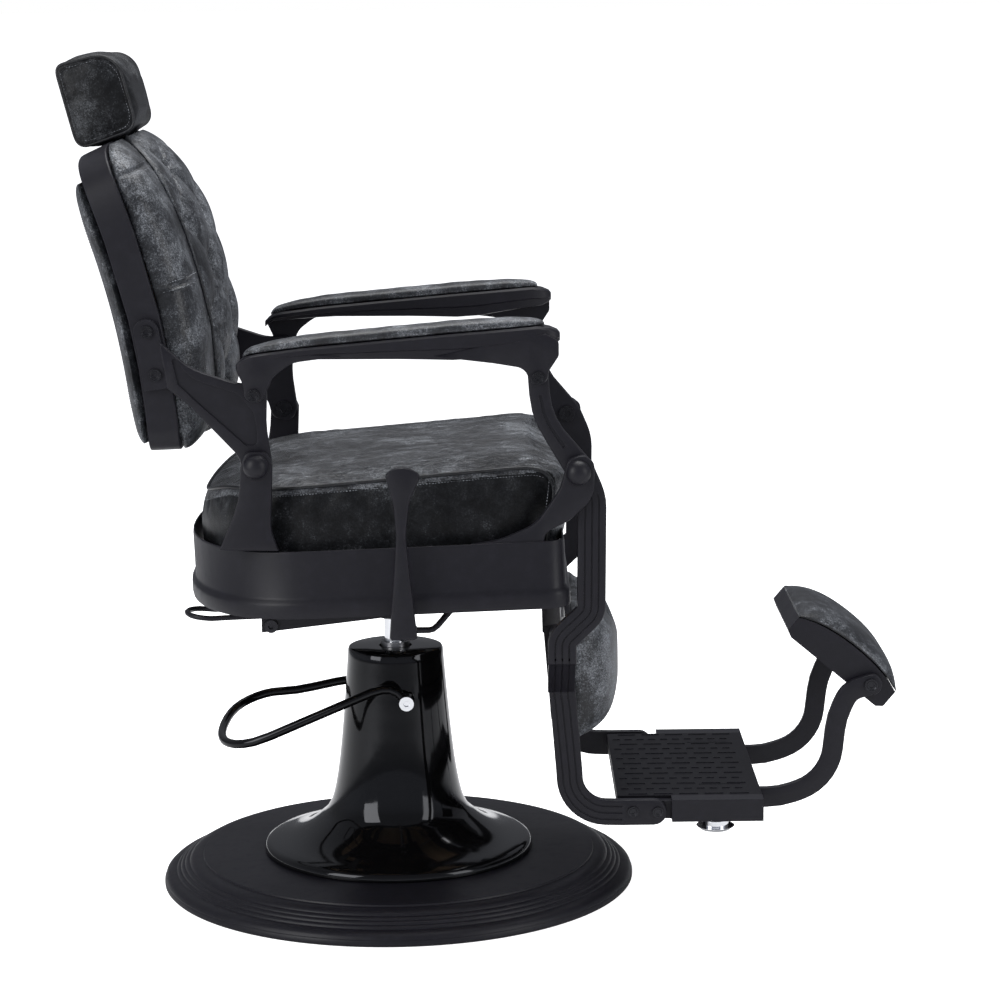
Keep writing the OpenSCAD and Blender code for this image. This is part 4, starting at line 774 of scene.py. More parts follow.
def crease_group():
    """Long shallow wrinkles across sat-on leather, and a mask of their ridges where a highlight is painted.
    """
    number = "NodeSocketFloat"
    tree, given, out = group(
        "Seat creases",
        [
            ("Vector", "NodeSocketVector", (0, 0, 0)),
            ("Stretch", "NodeSocketVector", (1, 1, 1)),
            ("Amount", number, 1.0),
        ],
        [("Height", number), ("Ridge", number)],
    )
    at = put(
        tree, "ShaderNodeVectorMath", {0: given["Vector"], 1: given["Stretch"]}, operation="MULTIPLY"
    ).outputs[0]
    wide = noise_at(tree, at, 40.0, 3.0, 0.55, 0.9)
    narrow = noise_at(tree, at, 105.0, 3.0, 0.6, 1.4)
    where = ranged(tree, noise_at(tree, given["Vector"], 5.0, 2.0), 0.35, 0.62)
    folds = maths(tree, "ADD", maths(tree, "MULTIPLY", wide, 0.6), maths(tree, "MULTIPLY", narrow, 0.4))
    sharp = ranged(tree, folds, 0.38, 0.62)
    amount = maths(tree, "MULTIPLY", given["Amount"], maths(tree, "ADD", 0.35, where))
    linked(tree, maths(tree, "MULTIPLY", sharp, amount), out["Height"])
    linked(tree, maths(tree, "MULTIPLY", ranged(tree, folds, 0.52, 0.66), amount), out["Ridge"])
    arrange(tree)
    return tree


def paint_group():
    """Fine orange peel and slight unevenness of sprayed paint, and a painted highlight that lightens the
    colour along the edges.
    """
    colour, number = "NodeSocketColor", "NodeSocketFloat"
    tree, given, out = group(
        "Sprayed paint",
        [
            ("Color", colour, (0, 0, 0, 1)),
            ("Roughness", number, 0.4),
            ("Peel Scale", number, 700.0),
            ("Edge Mask", number, 0.0),
            ("Edge Lift", number, 0.4),
        ],
        [("Color", colour), ("Roughness", number), ("Height", number)],
    )
    at = put(tree, "ShaderNodeTexCoord").outputs["Object"]
    peel = noise_at(tree, at, given["Peel Scale"], 2.0, 0.6)
    broad = noise_at(tree, at, 7.0, 3.0, 0.5)
    dust = ranged(tree, noise_at(tree, at, 60.0, 5.0, 0.7), 0.45, 0.75)
    lighter = mixed(tree, 1.0, given["Color"], (2.6, 2.6, 2.75, 1), "MULTIPLY")
    uneven = mixed(tree, maths(tree, "MULTIPLY", dust, 0.16), given["Color"], lighter)
    # Painted highlight: the edge mask, broken up by broad noise, lightens the colour along the edges.
    edge_highlight = maths(
        tree,
        "MULTIPLY",
        given["Edge Mask"],
        maths(tree, "MULTIPLY", given["Edge Lift"], ranged(tree, broad, 0.3, 0.7, 0.5, 1.0)),
    )
    linked(tree, mixed(tree, edge_highlight, uneven, lighter), out["Color"])
    change = maths(
        tree,
        "ADD",
        maths(tree, "MULTIPLY", maths(tree, "SUBTRACT", broad, 0.5), 0.16),
        maths(tree, "MULTIPLY", dust, 0.06),
    )
    linked(
        tree,
        maths(
            tree,
            "SUBTRACT",
            maths(tree, "ADD", given["Roughness"], change),
            maths(tree, "MULTIPLY", edge_highlight, 0.1),
        ),
        out["Roughness"],
    )
    linked(tree, peel, out["Height"])
    arrange(tree)
    return tree


def edge_group():
    """Softened normal at the edges and a mask of where they are."""
    number = "NodeSocketFloat"
    tree, given, out = group(
        "Soft edges", [("Radius", number, 0.001)], [("Mask", number), ("Normal", "NodeSocketVector")]
    )
    soft = put(tree, "ShaderNodeBevel", {"Radius": given["Radius"]}, samples=4).outputs[0]
    plain = put(tree, "ShaderNodeNewGeometry").outputs["Normal"]
    same = put(tree, "ShaderNodeVectorMath", {0: soft, 1: plain}, operation="DOT_PRODUCT").outputs["Value"]
    linked(tree, ranged(tree, same, 0.998, 0.86, 0.0, 1.0), out["Mask"])
    linked(tree, soft, out["Normal"])
    arrange(tree)
    return tree


def metal_group():
    """Turned or brushed metal with smudges."""
    colour, number = "NodeSocketColor", "NodeSocketFloat"
    tree, given, out = group(
        "Bare metal",
        [
            ("Color", colour, (0.6, 0.6, 0.6, 1)),
            ("Roughness", number, 0.2),
            ("Grain", "NodeSocketVector", (1, 1, 60)),
            ("Smudge", number, 0.1),
        ],
        [("Color", colour), ("Roughness", number), ("Height", number)],
    )
    at = put(tree, "ShaderNodeTexCoord").outputs["Object"]
    along = put(tree, "ShaderNodeVectorMath", {0: at, 1: given["Grain"]}, operation="MULTIPLY").outputs[0]
    lines = noise_at(tree, along, 40.0, 3.0, 0.6)
    smudges = noise_at(tree, at, 38.0, 5.0, 0.65)
    darker = mixed(tree, 1.0, given["Color"], (0.72, 0.72, 0.74, 1), "MULTIPLY")
    linked(tree, mixed(tree, maths(tree, "MULTIPLY", lines, 0.5), given["Color"], darker), out["Color"])
    rough = maths(tree, "MULTIPLY", ranged(tree, smudges, 0.35, 0.7), given["Smudge"])
    linked(tree, maths(tree, "ADD", given["Roughness"], rough), out["Roughness"])
    linked(tree, lines, out["Height"])
    arrange(tree)
    return tree


def blank(name):
    material = bpy.data.materials.new(name)
    material.use_nodes = True
    material.node_tree.nodes.clear()
    return material, material.node_tree


def finished(material, tree, colour, roughness, normal=None, metallic=None, **fixed):
    shader = put(tree, "ShaderNodeBsdfPrincipled")
    linked(tree, colour, shader.inputs["Base Color"])
    linked(tree, roughness, shader.inputs["Roughness"])
    if normal is not None:
        linked(tree, normal, shader.inputs["Normal"])
    if metallic is not None:
        shader.inputs["Metallic"].default_value = metallic
    for key, value in fixed.items():
        shader.inputs[key.replace("_", " ").title().replace("Ior", "IOR")].default_value = value
    end = put(tree, "ShaderNodeOutputMaterial")
    linked(tree, shader.outputs[0], end.inputs[0])
    arrange(tree)
    return material


def rgba(colour):
    return (colour[0], colour[1], colour[2], 1.0)


def leather_material(
    name, groups, wear=0.0, patch=1.0, creases=None, grain=0.00045, tone=1.0, gloss=0.0, shine=0.38
):
    """Hide with its own amount of wear; creases is (stretch, amount, height), and its ridges get a painted
    highlight in the scuffed colour.
    """
    settings = bpy.context.scene.chair_leather
    material, tree = blank(name)
    at = put(tree, "ShaderNodeTexCoord").outputs["Object"]
    shades = [
        tuple(c * tone for c in colour) + (1.0,)
        for colour in (settings.dark, settings.middle, settings.scuffed_and_sheen)
    ]
    values = {
        "Vector": at,
        "Dark": shades[0],
        "Middle": shades[1],
        "Scuffed": shades[2],
        "Wear": settings.wear + wear,
        "Patch Size": patch,
    }
    hide = put(tree, "ShaderNodeGroup", values, node_tree=groups["hide"])
    colour, roughness = hide.outputs["Color"], maths(tree, "SUBTRACT", hide.outputs["Roughness"], gloss)
    bump = put(
        tree, "ShaderNodeBump", {"Height": hide.outputs["Height"], "Strength": 0.9, "Distance": grain}
    )
    if creases:
        stretch, amount, height = creases
        folds = put(
            tree,
            "ShaderNodeGroup",
            {"Vector": at, "Stretch": stretch, "Amount": amount},
            node_tree=groups["creases"],
        )
        deep = put(
            tree, "ShaderNodeBump", {"Height": folds.outputs["Height"], "Strength": 1.0, "Distance": height}
        )
        linked(tree, deep.outputs[0], bump.inputs["Normal"])
        # Painted highlight: the crease ridges are lightened towards the scuffed colour and made glossier.
        colour = mixed(tree, maths(tree, "MULTIPLY", folds.outputs["Ridge"], 0.3), colour, shades[2])
        roughness = maths(tree, "SUBTRACT", roughness, maths(tree, "MULTIPLY", folds.outputs["Ridge"], 0.1))
    return finished(material, tree, colour, roughness, bump.outputs[0], specular_ior_level=shine)


def painted_material(
    name, groups, colour, roughness, peel=700.0, peel_height=0.00004, edge=0.0012, lift=0.4, **fixed
):
    material, tree = blank(name)
    edges = put(tree, "ShaderNodeGroup", {"Radius": edge}, node_tree=groups["edges"])
    values = {
        "Color": rgba(colour),
        "Roughness": roughness,
        "Peel Scale": peel,
        "Edge Mask": edges.outputs["Mask"],
        # lift sets how strongly the edges are lightened: a painted highlight along the edges.
        "Edge Lift": lift,
    }
    paint = put(tree, "ShaderNodeGroup", values, node_tree=groups["paint"])
    bump = put(
        tree,
        "ShaderNodeBump",
        {
            "Height": paint.outputs["Height"],
            "Strength": 0.6,
            "Distance": peel_height,
            "Normal": edges.outputs["Normal"],
        },
    )
    return finished(
        material, tree, paint.outputs["Color"], paint.outputs["Roughness"], bump.outputs[0], **fixed
    )


def metal_material(
    name, groups, colour, roughness, grain=(1, 1, 60), smudge=0.1, height=0.00001, edge=0.0004, metallic=1.0
):
    material, tree = blank(name)
    edges = put(tree, "ShaderNodeGroup", {"Radius": edge}, node_tree=groups["edges"])
    values = {"Color": rgba(colour), "Roughness": roughness, "Grain": grain, "Smudge": smudge}
    metal = put(tree, "ShaderNodeGroup", values, node_tree=groups["metal"])
    bump = put(
        tree,
        "ShaderNodeBump",
        {
            "Height": metal.outputs["Height"],
            "Strength": 0.5,
            "Distance": height,
            "Normal": edges.outputs["Normal"],
        },
    )
    return finished(
        material,
        tree,
        metal.outputs["Color"],
        metal.outputs["Roughness"],
        bump.outputs[0],
        metallic=metallic,
    )


def wood_material(name):
    """Birch plywood, layered through its thickness."""
    material, tree = blank(name)
    at = put(tree, "ShaderNodeTexCoord").outputs["Object"]
    grain = put(tree, "ShaderNodeVectorMath", {0: at, 1: (3, 40, 40)}, operation="MULTIPLY").outputs[0]
    lines = noise_at(tree, grain, 8.0, 4.0, 0.6, 0.5)
    plies = put(
        tree, "ShaderNodeTexWave", {"Vector": at, "Scale": 160.0, "Distortion": 0.4}, bands_direction="Z"
    ).outputs[1]
    layered = mixed(tree, maths(tree, "MULTIPLY", plies, 0.45), WOOD_LIGHT, WOOD_DARK)
    colour = mixed(tree, maths(tree, "MULTIPLY", lines, 0.5), layered, WOOD_GRAIN)
    bump = put(tree, "ShaderNodeBump", {"Height": lines, "Strength": 0.4, "Distance": 0.0002})
    return finished(material, tree, colour, ranged(tree, lines, 0.2, 0.8, 0.55, 0.75), bump.outputs[0])


def rubber_material(name):
    material, tree = blank(name)
    at = put(tree, "ShaderNodeTexCoord").outputs["Object"]
    dust = noise_at(tree, at, 45.0, 5.0, 0.7)
    fine_grain = noise_at(tree, at, 800.0, 2.0)
    colour = mixed(tree, ranged(tree, dust, 0.45, 0.75), RUBBER, RUBBER_DUST)
    bump = put(tree, "ShaderNodeBump", {"Height": fine_grain, "Strength": 0.5, "Distance": 0.00008})
    return finished(material, tree, colour, ranged(tree, dust, 0.3, 0.7, 0.62, 0.8), bump.outputs[0])


FINISHES = {}


def finish(name):
    if name not in FINISHES:
        raise RuntimeError(f"the finish {name} is not made yet; run Finishes first")
    return FINISHES[name]


# ---------------------------------------------------------------- operators


def smoothed(node):
    """Rounds off the shading of curved faces and keeps the edges crisp."""
    extra = node.data.attributes.get("custom_normal")
    if extra is not None:
        node.data.attributes.remove(extra)
    node.data.shade_smooth()
    weld = node.modifiers.new("Joined", "WELD")
    weld.merge_threshold = WELD_GAP
    split = node.modifiers.new("Crisp edges", "EDGE_SPLIT")
    split.split_angle = CRISP_ANGLE
    split.use_edge_sharp = False


class CHAIR_OT_finishes(bpy.types.Operator):
    """Make every finish and put it on the frame, castings and hardware"""

    bl_idname = "chair.finishes"
    bl_label = "Finishes"

    def execute(self, context):
        metal = context.scene.chair_metal
        groups = {
            "hide": hide_group(),
            "creases": crease_group(),
            "paint": paint_group(),
            "edges": edge_group(),
            "metal": metal_group(),
        }
        powder, enamel, edge = metal.powder, metal.enamel, metal.edge
        FINISHES.update(
            # The painted finishes below lighten their edges: a painted highlight, strongest on the tread.
            satin_black=painted_material(
                "Satin powder coat", groups, powder, 0.42, edge=edge, specular_ior_level=0.24
            ),
            gloss_black=painted_material(
                "Gloss enamel", groups, enamel, 0.07, 25.0, 0.00002, 0.0008, 0.2, specular_tint=ENAMEL_TINT
            ),
            # The tread plate gets a darker copy of the powder coat, as painted shade, and strongly
            # lightened edges, as painted glints.
            tread=painted_material(
                "Worn tread paint",
                groups,
                [c * TREAD_PAINTED_SHADE for c in powder],
                0.5,
                edge=0.0009,
                lift=2.2,
                specular_ior_level=0.12,
            ),
            bright_chrome=metal_material("Chrome plate", groups, CHROME, 0.07, smudge=0.08),
            machined_steel=metal_material("Turned steel", groups, STEEL, 0.3, height=0.00003),
            black_oxide=metal_material(
                "Black oxide", groups, OXIDE, 0.24, smudge=0.1, edge=0.0006, metallic=0.9
            ),
            black_rubber=rubber_material("Ribbed rubber"),
            plywood=wood_material("Birch plywood"),
            leather=leather_material("Rubbed charcoal hide", groups, 0.2, tone=1.15),
            # The seat and back hides paint a highlight along their crease ridges.
            seat_leather=leather_material(
                "Seat top hide", groups, 0.15, 1.2, ((0.42, 1.7, 1.0), 1.1, 0.0022), tone=1.15, gloss=0.05
            ),
            back_leather=leather_material(
                "Back hide", groups, 0.3, 0.9, ((1.0, 1.0, 0.7), 0.6, 0.0012), tone=1.15, gloss=0.1
            ),
            # The boxing and headrest hides are the same hide at about a third of its tone: painted shade on
            # the seat cushion's sides and on the headrest.
            side_leather=leather_material("Boxing hide", groups, -0.1, 1.6, tone=0.36, shine=0.18),
            head_leather=leather_material("Headrest hide", groups, 0.15, 1.6, tone=0.36, shine=0.2),
            calf_leather=leather_material("Calf pad hide", groups, 0.5, 1.0, tone=1.2),
            welt=leather_material("Welt hide", groups, 0.0, 1.0, grain=0.0003),
            piping=leather_material("Piping hide", groups, -0.25, 1.0, grain=0.0002, tone=0.5),
            thread=leather_material("Sewing thread", groups, 0.5, 1.0, grain=0.0001, tone=2.4),
        )
        for name, node in frame["nodes"].items():
            own = finish("tread") if name == "tread_plate" else finish(SLOT_OF[name])
            node.data.materials.clear()
            node.data.materials.append(own)
            smoothed(node)
        return {"FINISHED"}


def seat_welt():
    """The piping's line: up the front corners and round the top edge."""
    plan = [Vector((p[0], p[1], 0)) for p in evened(seat_plan(), 4.0)]
    n = len(plan)
    front = CUSHION_FRONT - FRONT_R
    diag = FRONT_R * math.sqrt(0.5)
    right = min(
        range(n), key=lambda i: (plan[i] - Vector((front + diag, -CUSHION_W + FRONT_R - diag, 0))).length
    )
    left = min(
        range(n), key=lambda i: (plan[i] - Vector((front + diag, CUSHION_W - FRONT_R + diag, 0))).length
    )
    way = []
    i = right
    while i != left:
        way.append(plan[i])
        i = (i - 1) % n
    way.append(plan[left])
    marks = [0.0]
    for a, b in zip(way, way[1:]):
        marks.append(marks[-1] + (b - a).length)
    total, top, bend, foot = marks[-1], CUSHION_SIDE - 1.6, 34.0, 4.0

    def plan_at(u):
        k = max(
            0,
            min(len(way) - 2, next((j for j in range(len(marks) - 1) if marks[j + 1] >= u), len(way) - 2)),
        )
        return way[k].lerp(way[k + 1], (u - marks[k]) / (marks[k + 1] - marks[k]))

    flat = [(0.0, foot + (top - bend - foot) * k / 24) for k in range(24)]
    flat += [
        (bend * (1 - math.cos(a)), top - bend + bend * math.sin(a))
        for a in (math.radians(6 * k) for k in range(15))
    ]
    flat += [(bend + (total - 2 * bend) * k / 300, top) for k in range(301)]
    flat += [
        (total - bend * (1 - math.cos(a)), top - bend + bend * math.sin(a))
        for a in (math.radians(6 * k) for k in range(14, -1, -1))
    ]
    flat += [(total, foot + (top - bend - foot) * k / 24) for k in range(23, -1, -1)]
    return flat, plan_at


class CHAIR_OT_seat_cushion(bpy.types.Operator):
    """Box seat cushion with a waterfall front, piping and a stitched boxing"""

    bl_idname = "chair.seat_cushion"
    bl_label = "Seat Cushion"

    def execute(self, context):
        sewing = context.scene.chair_sewing
        plan = evened(seat_plan(), 6.0)
        rings = []
        for height in [0, 3, 8, 14] + [20 + 9.0 * k for k in range(12)]:
            inset, share = seat_side(height)
            rings.append([seat_point(p, inset, height, share) for p in plan])
        for k in range(1, 7):
            a = math.radians(15 * k)
            rings.append(
                [
                    seat_point(
                        p, EDGE_R * (1 - math.cos(a)) - 1, CUSHION_SIDE - EDGE_R * (1 - math.sin(a)), 1
                    )
                    for p in plan
                ]
            )
        for k in range(1, 22):
            f = k / 22
            inset = EDGE_R + (CUSHION_W - EDGE_R) * f
            rings.append(
                [seat_point(p, inset, CUSHION_SIDE + SEAT_CROWN * (1 - (1 - f) ** 2), 1) for p in plan]
            )
        piece = mesh_piece("seat_cushion_leather", *loft(rings))
        flat, plan_at = seat_welt()

        def surface(u, h, off=0.0):
            inset, share = seat_side(h)
            return Vector(seat_point(plan_at(u), inset - off, h + off * 0.6, share))

        welt = [surface(u, h) for u, h in flat]
        seam = near_any(welt, 11.0, 3.0)
        floor_z = PAN_Z + CUSHION_BASE

        def held(co, normal):
            if normal.z < -0.6:
                return 1.0
            rest = 1.0 if co.z < floor_z + 10 + math.sin(SEAT_PITCH) * co.x else 0.0
            return max(rest, seam(co))

        stuffed(piece, 6.0, 9.0, 3.0, held, start=2.5)
        skin = Skin(piece)
        dressed(piece, finish("seat_leather"), "seat", "seat_cushion")
        # The boxing takes the darker copy of the hide: painted shade on the cushion's sides.
        piece.data.materials.append(finish("side_leather"))
        for poly in piece.data.polygons:
            x, y, z = poly.center / MM
            local_top = PAN_Z + CUSHION_BASE + CUSHION_SIDE * (1 + WEDGE * x) + x * math.sin(SEAT_PITCH) - 9
            low = max(0.0, CUSHION_REAR + REAR_ROUND - x) / REAR_ROUND
            boxing = z < local_top - REAR_DROP * low * low and not (
                x > CUSHION_FRONT - 0.8 * FRONT_R and abs(y) < CUSHION_W - 0.29 * FRONT_R
            )
            poly.material_index = 1 if boxing else 0
        cord = eased(skin.on(eased(spaced(welt, 5.0), 2), 1.2), 3)
        dressed(mesh_piece("seat_cushion_piping", *tube(cord, sewing.piping)), finish("piping"), "seat")
        total = flat[-1][0]
        gap, upright = 8.5, 12
        below = []
        for u, h in flat[4:-4]:
            drop = 0 if u < upright or u > total - upright else gap
            below.append(surface(min(max(u, gap), total - gap), h - drop))
        line = eased(skin.on(spaced(below, 4.0), 0.15), 2)
        dressed(
            mesh_piece("seat_cushion_stitching", *stitches(line, sewing.stitch)), finish("thread"), "seat"
        )
        return {"FINISHED"}


class CHAIR_OT_back_cushion(bpy.types.Operator):
    """Diamond-tufted back cushion with covered buttons, piping and seamed side panels"""

    bl_idname = "chair.back_cushion"
    bl_label = "Back Cushion"

    def execute(self, context):
        sewing = context.scene.chair_sewing
        depth = sewing.tuft
        columns, count = 128, 150
        rear = 14.3
        span = CUSHION_END - CUSHION_LOW

        def inner(s):
            return BAND_T + 2 + (s - CUSHION_LOW) / span * (BACK_LEN - 2 * BAND_T - 16)

        def measures(s):
            s_in = inner(s)
            w_in = inside_half(s_in)
            wide = max(s, 0.0)
            w = min(w_in, band_half(min(wide, BACK_LEN - 2)) - BAND_T) - 26 * max(0.0, (30 - s) / 42) ** 2
            c = max(back_depth(s), LIP + 8)
            side = max(LIP + 5, c - 17)
            f = min(seam_half(wide), w - 6)
            return s_in, w_in, w, c, side, f

        def flank(s, sign):
            _, _, w, _, side, f = measures(s)
            out = []
            for k in range(17):
                a = math.radians(90 * k / 16)
                y = f + 4 + (w - f - 4) * math.cos(a) ** 0.75
                d = LIP + 1 + (side - 4 - LIP) * math.sin(a) ** 0.75
                puff = math.sin(math.pi * k / 16) ** 0.8
                groove = sum(math.exp(-(((s - at) / 3.0) ** 2)) for at in FLANK_SEAMS)
                fold = math.sin(s * 0.21 + k * 0.5) * 0.35 + math.sin(s * 0.083 - k * 0.3) * 0.5
                d += puff * (1.2 - 6.5 * groove + fold * 0.6)
                out.append(
                    back_point(rolled(s, d), d, sign * (y + puff * (1.0 - 5.5 * groove + fold * 0.4)))
                )
            return out

        def front(s):
            _, _, _, c, side, f = measures(s)
            out = []
            for k in range(columns + 1):
                t = -1 + 2 * k / columns
                y = f * math.copysign(1 - (1 - abs(t)) ** 1.12, t) if t else 0.0
                e = 1 - (abs(y) / (f + 1)) ** 8
                ends = min(1.0, max(0.0, c / BACK_CROWN * 1.6 - 0.6))
                sunk = 2.2 * math.exp(-(((f - abs(y)) / 5) ** 2))
                d = side + (c - side) * (1 - (y / f) ** 2) + tufted(s, y, depth) * e * ends - sunk
                out.append(back_point(rolled(s, d), d, y))
            return out

        rows = []
        for k in range(count + 1):
            t = k / count
            rows.append(CUSHION_LOW + 3 + (span - 3) * (0.3 * (1 - math.cos(math.pi * t)) + 0.4 * t))
        rings = []
        for s in rows:
            s_in, w_in = measures(s)[:2]
            base = [
                back_point(s_in, LIP, w_in),
                back_point(s_in, rear, w_in - 3),
                back_point(s_in, rear, 3 - w_in),
                back_point(s_in, LIP, -w_in),
            ]
            rings.append(base + flank(s, -1) + front(s) + flank(s, 1)[::-1])

        def stop(s, f):
            w = inside_half(s)
            base = [
                back_point(s, LIP, w),
                back_point(s, rear, w - 3),
                back_point(s, rear, 3 - w),
                back_point(s, LIP, -w),
            ]
            left = [
                back_point(s, LIP + 0.1, -(f + (w - 4 - f) * math.cos(math.radians(90 * k / 16))) - 0.5)
                for k in range(17)
            ]
            middle = [back_point(s, LIP + 0.2, -f + 2 * f * k / columns) for k in range(columns + 1)]
            right = [
                back_point(s, LIP + 0.1, f + (w - 4 - f) * math.cos(math.radians(90 * k / 16)) + 0.5)
                for k in range(16, -1, -1)
            ]
            return base + left + middle + right

        rings = [stop(inner(rows[0]) - 2, 70)] + rings + [stop(inner(rows[-1]) + 2, 30)]
        piece = rounded(mesh_piece("back_cushion_leather", *loft(rings)))
        skin = Skin(piece)
        dressed(piece, finish("back_leather"), "back", "back_cushion")

        loop = []
        for c, s in around(240):
            power, reach = (SEAM_POWER_UP, SEAM_UP) if s > 0 else (SEAM_POWER_DOWN, SEAM_DOWN)
            at = SEAM_CENTRE + reach * signed_power(s, 2 / power)
            at = min(max(at, -7.5), 413.0)
            side, f = measures(at)[4:]
            y = math.copysign(min(SEAM_W * abs(c) ** (2 / power), f) + 1.5, c)
            loop.append(Vector(back_point(rolled(at, side - 1), side - 1, y)))
        cord = eased(skin.on(spaced(loop, 5.0, closed=True), 1.0), 4, closed=True)
        dressed(
            mesh_piece("back_cushion_piping", *tube(cord, sewing.piping, closed=True)),
            finish("welt"),
            "back",
        )

        threads = []
        for at in FLANK_SEAMS:
            for sign in (-1, 1):
                for off in (-5.0, 5.0):
                    line = skin.on(spaced(flank(at + off, sign)[1:-1], 3.0), 0.2)
                    threads.append(stitches(line, sewing.stitch, radius=BOLD_THREAD))
        dressed(mesh_piece("back_cushion_stitching", *gathered(threads)), finish("thread"), "back")

        buttons = []
        for s, y in BUTTONS:
            a = lean(s)
            out = Vector((math.cos(a), 0, math.sin(a)))
            up = Vector((-math.sin(a), 0, math.cos(a)))
            across = out.cross(up)
            spot = skin.tree.ray_cast(Vector(back_point(s, 140, y)), -out)[0]
            rings = []
            for r, h in (
                (0.55, -3), (0.95, -1.5), (1.0, 0.4), (0.92, 2.0), (0.72, 3.2), (0.42, 4.0), (0.12, 4.3)
            ):
                rings.append(
                    [
                        spot + (up * math.cos(t) + across * math.sin(t)) * (sewing.button * r) + out * h
                        for t in (2 * math.pi * k / 28 for k in range(28))
                    ]
                )
            buttons.append(loft(rings))
        dressed(mesh_piece("back_cushion_buttons", *gathered(buttons)), finish("piping"), "back")
        return {"FINISHED"}


class CHAIR_OT_back_pad(bpy.types.Operator):
    """Domed leather panel that closes the rear of the back"""

    bl_idname = "chair.back_pad"
    bl_label = "Rear Back Pad"

    def execute(self, context):
        sewing = context.scene.chair_sewing
        low, high, front, seat = PAD_LOW, PAD_HIGH, -19.0, -BAND_D / 2 - 0.3

        def reach(s):
            return band_half(s) - 2

        def outer(s, y):
            t = 2 * (s - low) / (high - low) - 1
            lift = swell(t * 0.995, 4) * swell(max(-1, min(1, y / reach(s))) * 0.995, 3.4)
            return back_point(s, seat - 1 - (PAD_BULGE + seat - 1) * lift, y)

        rows = [low + (high - low) * close_at_ends(k, 70) for k in range(71)]
        rings = []
        for s in rows:
            w = inside_half(s)
            ring = [back_point(s, front, -w), back_point(s, front, w), back_point(s, seat, w)]
            ring += [outer(s, reach(s) * math.cos(math.pi * k / 90)) for k in range(91)]
            rings.append(ring + [back_point(s, seat, -w)])
        piece = rounded(mesh_piece("back_pad_leather", *loft(rings)))
        skin = Skin(piece)
        dressed(piece, finish("leather"), "back", "back_pad")
        loop = []
        for c, s in around(200):
            t = signed_power(s, 0.5) * 0.93
            at = (low + high) / 2 + (high - low) / 2 * t
            loop.append(Vector(outer(at, reach(at) * 0.93 * signed_power(c, 0.4))))
        line = eased(skin.on(spaced(loop, 5.0, closed=True), 0.2), 3, closed=True)
        dressed(
            mesh_piece("back_pad_stitching", *stitches(line, sewing.stitch, closed=True)),
            finish("thread"),
            "back",
        )
        return {"FINISHED"}


class CHAIR_OT_headrest(bpy.types.Operator):
    """Headrest block with piping round both ends"""

    bl_idname = "chair.headrest"
    bl_label = "Headrest"

    def execute(self, context):
        sewing = context.scene.chair_sewing
        form = [Vector((p[0], p[1], 0)) for p in evened(outline(HEAD_FORM), 4.0)]
        middle = Vector((*HEAD_MIDDLE, 0))
        half = HEAD_HALF

        def ring(y, drawn):
            return [(p.x + (middle.x - p.x) * drawn, y, p.y + (middle.y - p.y) * drawn) for p in form]

        rings = [
            ring(-half - 5 * (1 - (1 - d) ** 2) ** 0.5 * 0.9, d) for d in (0.9, 0.7, 0.5, 0.3, 0.15, 0.05)
        ]
        rings += [
            ring(
                -half + 6 + (2 * half - 12) * k / 40, -0.02 * swell(2 * k / 40 - 1, 4) if 0 < k < 40 else 0
            )
            for k in range(41)
        ]
        rings += [
            ring(half + 5 * (1 - (1 - d) ** 2) ** 0.5 * 0.9, d) for d in (0.05, 0.15, 0.3, 0.5, 0.7, 0.9)
        ]
        piece = mesh_piece("headrest_leather", *loft(rings))
        loops = [[Vector(p) for p in ring(y, 0.0)] for y in (-half, half)]
        seam = near_any(loops[0] + loops[1], 9.0, 2.5)
        stuffed(piece, 4.5, 4.0, 3.0, lambda co, normal: seam(co), start=1.5)
        skin = Skin(piece)
        # The headrest takes the darker copy of the hide: painted shade.
        dressed(piece, finish("head_leather"), "headrest", "headrest_cushion")
        cords, threads = [], []
        for loop in loops:
            line = eased(skin.on(spaced(loop, 4.0, closed=True), 0.8), 2, closed=True)
            cords.append(tube(line, sewing.piping * 0.85, closed=True))
            inner = [
                Vector((p.x + (middle.x - p.x) * 0.13, p.y, p.z + (middle.y - p.z) * 0.13)) for p in loop
            ]
            threads.append(
                stitches(
                    eased(skin.on(spaced(inner, 4.0, closed=True), 0.15), 2, True),
                    sewing.stitch,
                    closed=True,
                    radius=FINE_THREAD,
                )
            )
        dressed(mesh_piece("headrest_piping", *gathered(cords)), finish("piping"), "headrest")
        dressed(mesh_piece("headrest_stitching", *gathered(threads)), finish("thread"), "headrest")
        return {"FINISHED"}


def arm_line():
    pts = [Vector(ARM_TOP[0][:2])]
    for i in range(1, len(ARM_TOP) - 1):
        pts += corner(ARM_TOP[i - 1], ARM_TOP[i], ARM_TOP[i + 1], 3.0)
    return pts + [Vector(ARM_TOP[-1][:2])]


def arm_upper(line, x):
    x = min(max(x, -199.9), 237.5)
    for a, b in zip(line, line[1:]):
        if a.x <= x <= b.x:
            return a.y if b.x - a.x < 0.001 else a.y + (b.y - a.y) * (x - a.x) / (b.x - a.x)
    return line[-1].y


